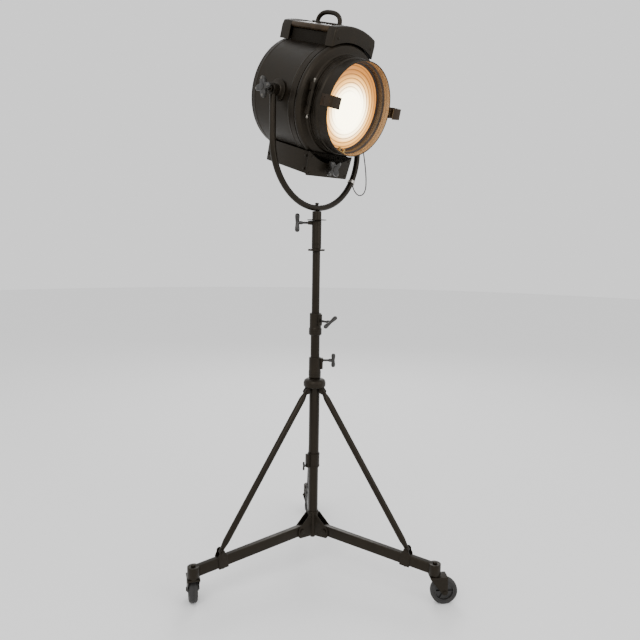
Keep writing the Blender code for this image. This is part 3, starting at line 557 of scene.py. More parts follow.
def lit_lens(name):
    """Stepped glass full of light: white below the middle, amber at the rim, a dark line at each step."""
    chosen = settings()
    finish = Finish(name)
    local = finish.stretch((1, 1, 1), (0, 0, TILT_HEIGHT), (HEAD_TIP, 0, 0), inverse=True)
    across, up = finish.axis(local, "X"), finish.axis(local, "Z")
    radius = (across**2.0 + up**2.0) ** 0.5
    aside, lower = across - 0.012, up + 0.016
    spot = (aside**2.0 + lower**2.0) ** 0.5
    yellow = finish.ramp(spot, 0.062, 0.108)
    warm = finish.ramp(spot, 0.088, 0.138)
    phase = finish.maths("FRACT", radius * (chosen.lens_rings / 0.1400))
    line = finish.ramp(phase, 0.55, 0.90) * finish.ramp(spot, 0.055, 0.095)
    grain = finish.noise(120.0, 3.0)
    rim = tuple(chosen.glow_rim)
    glow = finish.blend(yellow, tuple(chosen.glow_middle), (rim[0] * 3.6, rim[1] * 5.0, rim[2] * 7.0))
    glow = finish.blend(warm, glow, rim)
    glow = finish.blend(line * (0.62 + grain * 0.35), glow, scaled(rim, 0.30, 0.05))
    return finish.finished(
        Base_Color=finish.blend(grain, (0.09, 0.05, 0.018), (0.14, 0.08, 0.03)),
        Roughness=0.12 + grain * 0.10,
        Specular_IOR_Level=0.3,
        Emission_Color=glow,
        Emission_Strength=chosen.glow_strength,
        Normal=finish.bump(grain, 0.10, 0.0004),
    )


def lit_wall(name):
    """The lamp's side of the door's rim: black paint coloured tan as painted lamplight from the lens, darker
    nearer the lens, with a dark line painted as the shade of a groove, turned rings and dusty streaks.
    """
    finish = Finish(name)
    local = finish.stretch((1, 1, 1), (0, 0, TILT_HEIGHT), (HEAD_TIP, 0, 0), inverse=True)
    depth = finish.axis(local, "Y") * -1.0
    ring = finish.maths("SINE", depth * 2600.0) * 0.5 + 0.5
    streak = finish.noise(34.0, 5.0, 0.65)
    shade = finish.ramp(depth, 0.1800, 0.1860)
    groove = finish.ramp(depth, 0.1915, 0.1925) - finish.ramp(depth, 0.1935, 0.1945)
    # Painted lamplight: tan beyond the step stands for the lens's light on the black paint; nearer the lens
    # it stays dark.
    coat = finish.blend(shade, (0.016, 0.008, 0.0035), (0.165, 0.085, 0.030))
    coat = finish.blend(finish.ramp(streak, 0.40, 0.75) * 0.45, coat, (0.060, 0.028, 0.010))
    # Painted shade: a dark line where a groove would lie in shade.
    coat = finish.blend(groove * 0.85, coat, (0.018, 0.009, 0.004))
    return finish.finished(
        Base_Color=coat,
        Roughness=0.42 + streak * 0.20,
        Normal=finish.bump(ring * 0.4 + streak * 0.6, 0.15, 0.0004),
    )


def clear_glass(name, tint):
    """Lamp glass: see-through, with faint waves and a smoky patch of deposit."""
    finish = Finish(name)
    wave = finish.noise(24.0, 3.0)
    coat = finish.blend(finish.ramp(wave, 0.45, 0.75) * 0.6, tint, scaled(tint, 0.45))
    return finish.finished(
        Base_Color=coat,
        Roughness=0.05 + wave * 0.08,
        Transmission_Weight=0.85,
        Emission_Color=(1.0, 0.80, 0.48, 1.0),
        Emission_Strength=0.8,
        Normal=finish.bump(wave, 0.08, 0.0005),
    )


def pale_floor(name):
    """A matt painted floor with a barely visible mottle."""
    finish = Finish(name)
    tone = tuple(settings().floor_colour)
    mottle = finish.noise(1.6, 4.0)
    return finish.finished(
        Base_Color=finish.blend(mottle, scaled(tone, 0.985), scaled(tone, 1.0)),
        Roughness=0.75 + mottle * 0.1,
    )


FINISHES = {}


def finishes():
    """Every finish, made once, by its name."""
    if not FINISHES:
        black = tuple(settings().paint_colour)
        FINISHES.update(
            cast=paint("cast_paint", scaled(black, 1.05), 0.43, 190.0, 0.45),
            rolled=paint("rolled_paint", black, 0.37, 300.0, 0.30),
            stand=paint("stand_paint", scaled(black, 0.90), 0.36, 340.0, 0.25),
            # Painted shade: the vent's side walls get paint at a third of the black's lightness, for the
            # shade under the roof's edges.
            recess=paint("recess_paint", scaled(black, 0.35), 0.75, 240.0, 0.15),
            # Painted highlight: the roof's paint is 3.2 times lighter and warmer than the black, for the
            # light along its rolled top.
            roof=paint("roof_highlight_paint", scaled(black, 3.2, 0.15), 0.32, 240.0, 0.40),
            # Painted light: the clips' brown stands for the lens's warm light on black paint.
            clip=paint("clip_lamplight_paint", (0.017, 0.0092, 0.0042), 0.34, 260.0, 0.30),
            worn=bare_metal("worn_steel", (0.20, 0.185, 0.16), 0.34, stain=0.75),
            tube=paint("tube_paint", scaled(black, 0.95), 0.30, 420.0, 0.20),
            bright=bare_metal("bright_steel", (0.55, 0.52, 0.47), 0.24, (90.0, 90.0, 90.0), 0.45),
            brass=bare_metal("latch_brass", (0.50, 0.33, 0.12), 0.30, (90.0, 90.0, 90.0), 0.6),
            knob=moulded("knob_plastic", (0.010, 0.0088, 0.0072), 0.30, 500.0, 0.12),
            # Painted highlight: the knob's balls are lighter than its grip, for the bright spots on their
            # tips.
            ball=moulded("knob_ball_highlight", (0.055, 0.050, 0.042), 0.24, 500.0, 0.10),
            wheel=moulded("wheel_plastic", (0.012, 0.011, 0.010), 0.42, 380.0, 0.20),
            tyre=moulded("tyre_rubber", (0.014, 0.013, 0.012), 0.68, 260.0, 0.45),
            sheath=woven_sheath("tether_sheath", (0.022, 0.019, 0.016)),
            lens=lit_lens("lit_lens"),
            wall=lit_wall("lit_wall"),
            lamp=clear_glass("lamp_glass", (0.95, 0.92, 0.85)),
            mirror=bare_metal("mirror_metal", (0.82, 0.80, 0.76), 0.08, (60.0, 60.0, 60.0), 0.25),
        )
    return FINISHES


class SPOTLIGHT_OT_stage(bpy.types.Operator):
    """Set the camera, the pale floor and the soft studio lights"""

    bl_idname = "spotlight.stage"
    bl_label = "Stage"

    def execute(self, context):
        scene = context.scene
        lens = bpy.data.cameras.new("stage_camera")
        lens.lens = 36.0
        lens.sensor_width = 36.0
        camera = bpy.data.objects.new("stage_camera", lens)
        heading = math.radians(-46.5)
        back = np.array([math.sin(heading), -math.cos(heading)]) * 2.43
        aside = np.array([math.cos(heading), math.sin(heading)]) * 0.0175
        spot = Matrix.Translation((*(back + aside), 1.336))
        camera.matrix_world = (
            spot @ Matrix.Rotation(heading, 4, "Z") @ about("X", 90 - 7.56) @ about("Z", 0.83)
        )
        scene.collection.objects.link(camera)
        scene.camera = camera

        size = np.linspace(0.0, 14.0, 9)[1:]
        turn = np.linspace(0, TAU, 48, endpoint=False)
        rings = [np.column_stack([r * np.cos(turn), r * np.sin(turn), 0 * turn]) for r in size]
        points = np.concatenate(rings)
        faces = [face[::-1] for face in quads(len(size), len(turn))]
        faces.append(list(range(len(turn))))
        data = bpy.data.meshes.new("stage_floor")
        data.from_pydata(points.tolist(), [], faces)
        data.materials.append(pale_floor("stage_floor"))
        floor = bpy.data.objects.new("stage_floor", data)
        scene.collection.objects.link(floor)

        world = bpy.data.worlds.new("studio")
        world.use_nodes = True
        sky = world.node_tree.nodes["Background"]
        sky.inputs["Color"].default_value = (1.0, 1.0, 1.0, 1.0)
        sky.inputs["Strength"].default_value = 1.15
        scene.world = world

        power = settings().light_power
        lights = (
            ("key", (-3.2, -1.6, 3.6), 2.2, 1.0),
            ("front", (0.6, -4.2, 2.6), 2.6, 0.55),
            ("back", (2.8, 2.4, 3.2), 2.0, 0.8),
        )
        for name, place, width, share in lights:
            light = bpy.data.lights.new(f"studio_{name}", "AREA")
            light.shape = "DISK"
            light.size = width
            light.energy = power * share
            lamp = bpy.data.objects.new(f"studio_{name}", light)
            aim = np.array([0.0, 0.0, 1.2]) - np.array(place)
            yaw = math.atan2(aim[1], aim[0])
            tilt = math.atan2(math.hypot(aim[0], aim[1]), -aim[2])
            lamp.matrix_world = (
                Matrix.Translation(place)
                @ Matrix.Rotation(yaw - math.pi / 2, 4, "Z")
                @ Matrix.Rotation(tilt, 4, "X")
            )
            scene.collection.objects.link(lamp)
        return {"FINISHED"}


TETHER_ROUTE = (
    (0.2410, 0.0000, 1.7677),
    (0.2415, -0.0010, 1.7500),
    (0.2435, -0.0060, 1.7100),
    (0.2470, -0.0140, 1.6600),
    (0.2505, -0.0210, 1.6100),
    (0.2520, -0.0255, 1.5650),
    (0.2500, -0.0275, 1.5300),
    (0.2430, -0.0270, 1.5080),
    (0.2320, -0.0240, 1.4960),
    (0.2190, -0.0195, 1.4935),
    (0.2070, -0.0150, 1.5000),
    (0.1995, -0.0095, 1.5130),
    (0.1995, -0.0035, 1.5245),
    (0.2021, 0.0000, 1.5303),
)


def smooth_route(route, steps=5):
    """Catmull-Rom through P0..Pn: half of 2b + (c-a)t + (2a-5b+4c-d)t^2 + (3b-a-3c+d)t^3."""
    p = np.asarray(route, float)
    p = np.concatenate([[2 * p[0] - p[1]], p, [2 * p[-1] - p[-2]]])
    a, b, c, d = (p[i : len(p) - 3 + i, None] for i in range(4))
    t = (np.arange(steps) / steps)[None, :, None]
    curve = 2 * b + (c - a) * t + (2 * a - 5 * b + 4 * c - d) * t**2 + (3 * b - a - 3 * c + d) * t**3
    return np.concatenate([(curve / 2).reshape(-1, 3), p[-2:-1]])


class SPOTLIGHT_OT_tether(bpy.types.Operator):
    """Make the tether that hangs from the tab on the yoke's right arm to its clip"""

    bl_idname = "spotlight.tether"
    bl_label = "Tether"

    def execute(self, context):
        points = smooth_route(TETHER_ROUTE)
        curve = bpy.data.curves.new("tether", "CURVE")
        curve.dimensions = "3D"
        curve.bevel_depth = 0.0022
        curve.bevel_resolution = 4
        curve.use_fill_caps = True
        spline = curve.splines.new("POLY")
        spline.points.add(len(points) - 1)
        spline.points.foreach_set("co", np.column_stack([points, np.ones(len(points))]).ravel())
        curve.materials.append(finishes()["sheath"])
        tether = bpy.data.objects.new("tether", curve)
        context.scene.collection.objects.link(tether)
        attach(tether, BODY["tether_cord"])
        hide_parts("tether_cord")
        return {"FINISHED"}


def ring_sleeve(inner, outer, low, high):
    return lathe([(inner, low), (outer, low), (outer, high), (inner, high)])


class SPOTLIGHT_OT_column(bpy.types.Operator):
    """Make the column's tubes, collars, clamps, hub, brace ring and pan socket"""

    bl_idname = "spotlight.column"
    bl_label = "Column"

    def execute(self, context):
        make("leg_tube", [ring_sleeve(0.0178, 0.0190, 0.155, 0.840)], "tube")
        outer = ring_sleeve(0.0193, 0.02025, 0.430, 0.845)
        make("outer_tube", [outer], "stand")
        make("riser_2", [ring_sleeve(0.0155, 0.0175, 0.360, 1.000)], "tube")
        make("riser_1", [ring_sleeve(0.0135, 0.0150, 0.660, 1.2962)], "tube")
        self.collar()
        self.hub()
        self.ring()
        self.clamps()
        self.socket()
        return {"FINISHED"}

    def collar(self):
        lock = about("Z", LEG_ANGLES["1"])
        forms = [ring_sleeve(0.02055, 0.0232, 0.431, 0.487)]
        forms.append(ring_sleeve(0.02055, 0.0240, 0.4335, 0.4385))
        forms.append(ring_sleeve(0.02055, 0.0240, 0.4795, 0.4845))
        boss = block((0.0215, 0.0335), (-0.009, 0.009), (0.4325, 0.4855), 0.002)
        forms.append(placed(boss, lock))
        washer = lathe([(0.0045, 0), (0.0072, 0), (0.0072, 0.0015), (0.0045, 0.0015)], 36, 0.0003)
        forms.append(placed(washer, SIDEWAYS, shift(x=0.0333, z=0.440), lock))
        make("base_collar", forms, "stand")

    def hub(self):
        sleeve = [(0, 0.140), (0.0098, 0.140), (0.0098, 0.150), (0.0225, 0.1515), (0.0225, 0.247)]
        sleeve += [(0.0210, 0.249), (0.0193, 0.249), (0.0193, 0.1545), (0, 0.1545)]
        forms = [lathe(sleeve)]
        outline = [(0.0155, 0.1525), (0.068, 0.1525), (0.075, 0.160), (0.075, 0.188)]
        outline += [(0.0215, 0.243), (0.0155, 0.243)]
        inside = LEG_HALF_WIDTH + 0.0003
        for degrees in LEG_ANGLES.values():
            turn = about("Z", degrees)
            for low in (inside, -inside - 0.004):
                cheek = plate(outline, -low - 0.004, -low, corner=0.004)
                forms.append(placed(cheek, UPRIGHT, turn))
            for side in (1, -1):
                for x, z in ((0.030, 0.2235), (0.030, 0.163)):
                    face = side * (inside + 0.004)
                    for form in screw(0.0032, 0.0014):
                        forms.append(placed(form, about("X", -90 * side), shift(x, face, z), turn))
        make("leg_hub", forms, "stand")

    def ring(self):
        profile = [(0.02055, 0.752), (0.0385, 0.752), (0.0425, 0.7565), (0.0430, 0.7700)]
        profile += [(0.0395, 0.7800), (0.0300, 0.7855), (0.02055, 0.7865)]
        forms = [lathe(profile, soft=0.0022)]
        lug = np.concatenate([[(-0.0115, 0.0155)], arc((0, 0), 0.0115, 180, 360, 14), [(0.0, 0.0155)]])
        for degrees in LEG_ANGLES.values():
            turn = about("Z", degrees)
            for low in (0.0065, -0.0065 - 0.0035):
                ear = plate(lug, -low - 0.0035, -low, 0.0006)
                place = shift(x=BRACE_PIVOT[0], z=BRACE_PIVOT[1])
                forms.append(placed(ear, UPRIGHT, place, turn))
            for form in screw(0.0036, 0.0018):
                place = shift(x=0.0424, z=0.7645)
                forms.append(placed(form, SIDEWAYS, place, about("Z", degrees + 60)))
        make("brace_ring", forms, "cast")

    def clamps(self):
        lower = ("lower_clamp", 0.788, 0.8453, 0.869, 0.02055, 0.0178, -46)
        lower += (0.0237, 0.0230, 0.0310, 0.823, 0.8665, 0.857)
        upper = ("upper_clamp", 0.955, 1.0003, 1.041, 0.0178, 0.0153, -88)
        upper += (0.0245, 0.0222, 0.0265, 0.993, 1.0375, 1.012)
        for collar in (lower, upper):
            name, low, shoulder, top, bottom, bore, heading, skirt, crown, reach, z0, z1, z = collar
            profile = [(bottom, low), (skirt - 0.003, low), (skirt, low + 0.004), (skirt, low + 0.026)]
            profile += [(crown, low + 0.030), (crown, top - 0.002), (crown - 0.0015, top), (bore, top)]
            profile += [(bore, shoulder), (bottom, shoulder)]
            turn = about("Z", heading)
            forms = [lathe(profile)]
            boss = block((crown - 0.0025, reach), (-0.010, 0.010), (z0, z1), 0.0025)
            forms.append(placed(boss, turn))
            nut = lathe([(0.0051, 0), (0.0078, 0), (0.0078, 0.002), (0.0051, 0.002)], 36, 0.0004)
            forms.append(placed(nut, SIDEWAYS, shift(x=reach - 0.0004, z=z), turn))
            for height in (low + 0.012, low + 0.020):
                forms.append(ring_sleeve(skirt - 0.001, skirt + 0.0006, height, height + 0.0016))
            make(name, forms, "stand")

    def socket(self):
        profile = [(0.0153, 1.2765), (0.0320, 1.2765), (0.0320, 1.2835), (0.0180, 1.2855)]
        profile += [(0.0180, 1.3885), (0.0165, 1.3900), (0.0088, 1.3900), (0.0088, 1.2965)]
        profile += [(0.0153, 1.2965)]
        turn = about("Z", 134)
        ferrule = lathe([(0, 0.0130), (0.0085, 0.0130), (0.0070, 0.0330), (0, 0.0330)])
        forms = [lathe(profile), placed(ferrule, SIDEWAYS, shift(z=1.381), turn)]
        for height in (1.300, 1.304, 1.372):
            forms.append(ring_sleeve(0.0172, 0.0186, height, height + 0.0018))
        make("head_socket", forms, "stand")
        low = YOKE_BOTTOM - YOKE_ROD
        nut = YOKE_BOTTOM + YOKE_ROD + 0.0015
        profile = [(0, 1.3065), (0.00825, 1.3065), (0.00825, 1.3905), (0.0360, 1.3905)]
        profile += [(0.0360, 1.3935), (0.0175, 1.3945), (0.0175, low - 0.0040), (0.0160, low - 0.0005)]
        profile += [(0.0042, low - 0.0005), (0.0042, nut + 0.0070), (0, nut + 0.0070)]
        forms = [lathe(profile)]
        forms.append(placed(plate(hexagon(0.0080), 0, 0.0058, 0.0006, 0.0003), shift(z=nut)))
        make("yoke_spigot", forms, "stand")


def leg_frame(degrees):
    return about("Z", degrees) @ shift(HUB_RADIUS, 0, HUB_HEIGHT)


class SPOTLIGHT_OT_legs(bpy.types.Operator):
    """Make the three box-section legs, their saddles and their braces"""

    bl_idname = "spotlight.legs"
    bl_label = "Legs"

    def execute(self, context):
        for number, degrees in LEG_ANGLES.items():
            pivot = leg_frame(degrees)
            slope = pivot @ Matrix.Rotation(LEG_SLOPE, 4, "Y")
            self.leg(number, pivot, slope)
            self.saddle(number, slope)
            self.brace(number, degrees)
        return {"FINISHED"}

    def leg(self, number, pivot, slope):
        half_z, half_y = LEG_HALF_HEIGHT, LEG_HALF_WIDTH
        section = [(half_z, half_y), (-half_z, half_y), (-half_z, -half_y), (half_z, -half_y)]
        forms = [placed(plate(section, -0.022, 0.438, 0.0012, 0.0046), SIDEWAYS, slope)]
        boss = [(0.0062, -0.0675), (0.022, -0.0675), (0.022, -0.026), (0.0062, -0.026)]
        forms.append(placed(lathe(boss, soft=0.0016), shift(x=LEG_REACH), pivot))
        inside = half_y + 0.004 + 0.0006
        forms.append(placed(pin(0.0050, 0.0090, inside, inside + 0.005), pivot))
        make(f"leg_{number}", forms, "stand")

    def saddle(self, number, slope):
        inner = LEG_HALF_WIDTH + 0.0003
        outer = inner + 0.003
        under = LEG_HALF_HEIGHT + 0.0003
        ear = [(-0.019, -under - 0.003), (0.019, -under - 0.003), (0.019, 0.022)]
        ear = np.concatenate([ear, arc((0, SADDLE_ABOVE), 0.0105, -10, 190, 16), [(-0.019, 0.022)]])
        along = slope @ shift(x=SADDLE_ALONG)
        forms = [
            placed(plate(ear, -low - 0.003, -low, 0.0007, 0.002), UPRIGHT, along)
            for low in (inner, -outer)
        ]
        base = block((-0.019, 0.019), (-outer, outer), (-under - 0.003, -under), 0.0007)
        forms.append(placed(base, along))
        for side in (1, -1):
            face = side * (outer - 0.0002)
            for form in bolt(0.0058, 0.0042):
                forms.append(placed(form, about("X", -90 * side), shift(y=face, z=SADDLE_ABOVE), along))
        for form in bolt(0.0058, 0.0080):
            forms.append(placed(form, about("X", 180), shift(z=-under - 0.003), along))
        make(f"leg_saddle_{number}", forms, "stand")

    def brace(self, number, degrees):
        """Ellipses (a cos t, b sin t) whose halves a and b run from flat eyes to the round tube."""
        along = SADDLE_ALONG * math.cos(LEG_SLOPE) + SADDLE_ABOVE * math.sin(LEG_SLOPE)
        above = SADDLE_ABOVE * math.cos(LEG_SLOPE) - SADDLE_ALONG * math.sin(LEG_SLOPE)
        out = HUB_RADIUS + along - BRACE_PIVOT[0]
        down = BRACE_PIVOT[1] - HUB_HEIGHT - above
        length = math.hypot(out, down)
        place = about("Z", degrees) @ shift(x=BRACE_PIVOT[0], z=BRACE_PIVOT[1])
        lean = place @ Matrix.Rotation(-math.atan2(out, down), 4, "Y")
        tip = 0.0090 * np.sin(np.radians(np.linspace(88, 0, 7)))
        heights = np.concatenate([tip, [-0.016, -0.020, -0.025, -0.030, -0.036]])
        wide = np.interp(heights, [-0.036, -0.016, 0.0], [0.0120, 0.0090, 0.0090])
        wide[:7] = np.sqrt(np.maximum(0.0090**2 - tip**2, 1e-8))
        thick = np.interp(heights, [-0.034, -0.018], [0.0120, 0.0060])
        low_tip = 0.0080 * np.sin(np.radians(np.linspace(0, 88, 7)))
        low_heights = np.concatenate([[0.040, 0.034, 0.028, 0.022, 0.016], -low_tip]) - length
        low_wide = np.interp(low_heights + length, [0.0, 0.016, 0.040], [0.0080, 0.0085, 0.0120])
        low_wide[5:] = np.sqrt(np.maximum(0.0080**2 - low_tip**2, 1e-8))
        low_thick = np.interp(low_heights + length, [0.018, 0.036], [0.0085, 0.0120])
        z = np.concatenate([heights, low_heights])[:, None]
        a = np.concatenate([wide, low_wide])[:, None]
        b = np.concatenate([thick, low_thick])[:, None]
        t = np.linspace(0, TAU, 40, endpoint=False)[None, :]
        power = 0.80
        grid = np.stack(
            [
                a * np.sign(np.cos(t)) * np.abs(np.cos(t)) ** power,
                b * np.sign(np.sin(t)) * np.abs(np.sin(t)) ** power,
                z + 0 * t,
            ],
            -1,
        )
        round_grid = np.stack([a * np.cos(t), b * np.sin(t), z + 0 * t], -1)
        flat = np.clip((0.0120 - b) / 0.0035, 0, 1)[:, :, None]
        grid = round_grid + (grid - round_grid) * flat
        forms = [placed(loft(list(grid)), lean), placed(pin(0.0040, 0.0070, 0.0103, 0.0138), place)]
        make(f"brace_{number}", forms, "stand")


class SPOTLIGHT_OT_casters(bpy.types.Operator):
    """Make each caster's swivel fork, spoked wheel and treaded tyre"""

    bl_idname = "spotlight.casters"
    bl_label = "Casters"

    def execute(self, context):
        for number, degrees in LEG_ANGLES.items():
            reach = HUB_RADIUS + LEG_REACH
            angle = math.radians(degrees)
            place = shift(reach * math.cos(angle), reach * math.sin(angle))
            swivel = place @ about("Z", CASTER_ANGLES[number])
            self.fork(number, swivel)
            self.wheel(number, swivel @ shift(x=CASTER_TRAIL, z=WHEEL_RADIUS) @ CROSSWAYS)
        return {"FINISHED"}

    def fork(self, number, swivel):
        forms = [block((-0.019, 0.046), (-0.0235, 0.0235), (0.1015, 0.1090), 0.0018)]
        side = [(-0.017, 0.1075), (-0.017, 0.099)]
        axle_end = arc((CASTER_TRAIL, WHEEL_RADIUS), 0.0115, 200, 380, 16)
        side = np.concatenate([side, axle_end, [(0.0445, 0.1075)]])
        for low in (0.0180, -0.0215):
            forms.append(placed(plate(side, -low - 0.0035, -low, 0.0010, 0.0030), UPRIGHT))
        stem = [(0, 0.1075), (0.0190, 0.1075), (0.0190, 0.1122), (0.0056, 0.1122), (0.0056, 0.1545)]
        stem += [(0.0088, 0.1545), (0.0088, 0.1590), (0.0060, 0.1615), (0, 0.1615)]
        forms.append(lathe(stem, soft=0.0008))
        axle = pin(0.0050, 0.0075, 0.0210, 0.0245)
        forms.append(placed(axle, shift(x=CASTER_TRAIL, z=WHEEL_RADIUS)))
        forms = [placed(form, swivel) for form in forms]
        make(f"caster_fork_{number}", forms, "stand")

    def wheel(self, number, spin):
        outline = [(0.0054, -0.0165), (0.0110, -0.0165), (0.0125, -0.0055), (0.0310, -0.0055)]
        outline += [(0.0325, -0.0135), (0.0365, -0.0135)]
        forms = [lathe(outline + [(r, -h) for r, h in reversed(outline)], soft=0.0010)]
        for spoke in range(6):
            for side in (1, -1):
                rib = block((0.0105, 0.0325), (-0.0014, 0.0014), (0.0040, 0.0115), 0.0008)
                forms.append(placed(rib, about("X", 90 - 90 * side), about("Z", 60 * spoke)))
        make(f"caster_wheel_{number}", [placed(form, spin) for form in forms], "wheel")
        tread = [(0.0368, -0.0138), (0.0440, -0.0155), (0.0485, -0.0120), (0.0500, -0.0040)]
        groove = [(0.0500, -0.0026), (0.0492, -0.0022), (0.0492, -0.0018), (0.0500, -0.0014)]
        half = tread + groove
        form = lathe(half + [(r, -h) for r, h in reversed(half)], 96, 0.0009)
        make(f"caster_tyre_{number}", [placed(form, spin)], "tyre")


class SPOTLIGHT_OT_locks(bpy.types.Operator):
    """Make the four T-handled clamp screws"""

    bl_idname = "spotlight.locks"
    bl_label = "Lock handles"

    def execute(self, context):
        for name, (height, heading, tip, reach, length, stem, bar, tilt) in LOCKS.items():
            axis = about("Z", heading) @ shift(z=height)
            shank = [(0, tip), (stem, tip), (stem, reach - 2.4 * bar), (stem * 1.5, reach - 1.9 * bar)]
            shank += [(stem * 1.5, reach), (0, reach)]
            half = length / 2
            grip = [(0, -half), (bar * 0.55, -half), (bar, -half + bar * 0.6), (bar, -half + bar * 1.6)]
            grip += [(bar * 0.72, 0)] + [(r, -h) for r, h in reversed(grip)]
            bar_form = placed(lathe(grip, 40, bar * 0.5), about("X", tilt), shift(x=reach))
            forms = [placed(lathe(shank, 40), SIDEWAYS), bar_form]
            make(name, [placed(form, axis) for form in forms], "knob")
        return {"FINISHED"}


class SPOTLIGHT_OT_yoke(bpy.types.Operator):
    """Make the round-rod yoke, its bosses, the tether's tab and the tether's clip"""

    bl_idname = "spotlight.yoke"
    bl_label = "Yoke"

    def execute(self, context):
        middle = YOKE_BOTTOM + YOKE_HALF_WIDTH
        bend = arc((0, middle), YOKE_HALF_WIDTH, 180, 360, 96)
        arm = np.linspace(TILT_HEIGHT - 0.010, middle + 0.004, 12)
        left = np.column_stack([np.full(12, -YOKE_HALF_WIDTH), arm])
        right = np.column_stack([np.full(12, YOKE_HALF_WIDTH), arm[::-1]])
        outline = np.concatenate([left, bend, right])
        path = np.column_stack([outline[:, 0], 0 * outline[:, 0], outline[:, 1]])
        forms = [rod(path, YOKE_ROD, (0, 1, 0), 36)]
        for turn in (0, 180):
            boss = [(0.0066, BOSS_END - 0.0225), (0.0200, BOSS_END - 0.0225), (0.0200, BOSS_END)]
            boss += [(0.0066, BOSS_END)]
            forms.append(placed(lathe(boss, soft=0.0016), SIDEWAYS, about("Z", turn), shift(z=TILT_HEIGHT)))
        reach = (YOKE_HALF_WIDTH + 0.007, YOKE_HALF_WIDTH + 0.0205)
        forms.append(block(reach, (-0.0035, 0.0035), (TETHER_TOP, TETHER_TOP + 0.006), 0.0009))
        make("yoke", forms, "stand")
        grip = lathe([(0.0121, -0.006), (0.0138, -0.006), (0.0138, 0.006), (0.0121, 0.006)], 48, 0.0005)
        ear = block((0.0126, 0.0190), (-0.0025, 0.0025), (-0.0045, 0.0045), 0.0006)
        knot = screw(0.0022, 0.0014)[0]
        along = shift(z=middle) @ about("Y", 31.5) @ shift(x=YOKE_HALF_WIDTH - 0.0007)
        knot = placed(knot, about("X", 90), shift(x=0.0155, y=-0.0024))
        forms = [placed(form, along) for form in (grip, ear, knot)]
        make("tether_clip", forms, "bright")
        return {"FINISHED"}


def lobed_knob(low, thick, lobes=4):
    """A knob about Z: r = 26 mm + 9.5 mm cos(n t) for n lobes, its rims rounded by 5.5 mm."""
    t = np.linspace(0, TAU, 144, endpoint=False)
    radius = 0.0260 + 0.0095 * np.cos(lobes * t)
    outline = np.column_stack([radius * np.cos(t), radius * np.sin(t)])
    turn = np.radians(np.linspace(0, 90, 7))
    edge = 0.0055
    rims = list(zip(edge * (1 - np.sin(turn)), edge * (1 - np.cos(turn)), strict=True))
    sections = [at_height(outline * (1 - inwards / 0.03), low + rise) for inwards, rise in rims]
    top = [at_height(outline * (1 - inwards / 0.03), low + thick - rise) for inwards, rise in reversed(rims)]
    return loft(sections + top)


def knob_forms(low):
    """The grip with its stem and face boss, and a ball at the tip of each lobe."""
    stem_low, stem_top = low - 0.012, low + 0.004
    stem = lathe([(0.0059, stem_low), (0.0090, stem_low), (0.0090, stem_top), (0.0059, stem_top)])
    face = [(0, low + 0.0155), (0.0115, low + 0.0155), (0.0105, low + 0.0195), (0, low + 0.0200)]
    angle = np.radians(np.linspace(-90, 90, 13))
    ball = [(0.0066 * math.cos(a), 0.0066 * math.sin(a)) for a in angle]
    ball[0], ball[-1] = (0, -0.0066), (0, 0.0066)
    balls = [
        placed(lathe(ball, 32, 0.0001), shift(x=0.0275, z=low + 0.0115), about("Z", 90 * lobe))
        for lobe in range(4)
    ]
    return [lobed_knob(low, 0.017), stem, lathe(face)], balls


class SPOTLIGHT_OT_knobs(bpy.types.Operator):
    """Make the four-lobed knobs that lock the tilt and drive the focus"""

    bl_idname = "spotlight.knobs"
    bl_label = "Knobs"

    def execute(self, context):
        tilt = (SIDEWAYS, about("Z", 180), HEAD)
        for name, low, quarter, matrices in (
            ("tilt_knob", BOSS_END + 0.0225, 20, tilt),
            ("focus_knob", PLATE_FRONT + 0.0160, 45, (BEAM, HEAD @ shift(z=SCREW_HEIGHT) @ HEAD.inverted())),
        ):
            grip, balls = knob_forms(low)
            turn = about("Z", quarter)
            grip = [placed(form, turn, *matrices) for form in grip]
            balls = [placed(form, turn, *matrices) for form in balls]
            make(name, grip, "knob")
            # The balls' lighter plastic is a painted highlight.
            make(name, balls, "ball", also=f"{name}_balls")
        tip = PLATE_FRONT + 0.0245
        screw_form = lathe([(0, -0.1035), (0.0050, -0.1035), (0.0050, tip), (0, tip)], 40)
        make("focus_screw", [placed(screw_form, beam_at(z=SCREW_HEIGHT))], "bright")
        return {"FINISHED"}


def beam_at(x=0.0, z=0.0):
    """The head's beam frame, moved across to (x, z) in the head's own frame."""
    return HEAD @ shift(x=x, z=z) @ Matrix.Rotation(math.radians(90), 4, "X")


def drum_profile():
    """The rolled shell, with a raised bead near each end."""
    back, front, r = DRUM_BACK, DRUM_FRONT, DRUM_RADIUS
    profile = [(r - 0.0025, back), (r, back)]
    profile += [(r, back + 0.010), (r + 0.0012, back + 0.012), (r + 0.0012, back + 0.016), (r, back + 0.018)]
    profile += [(r, front - 0.030), (r + 0.0012, front - 0.028), (r + 0.0012, front - 0.024)]
    profile += [(r, front - 0.022), (r, front), (r - 0.0025, front)]
    return profile


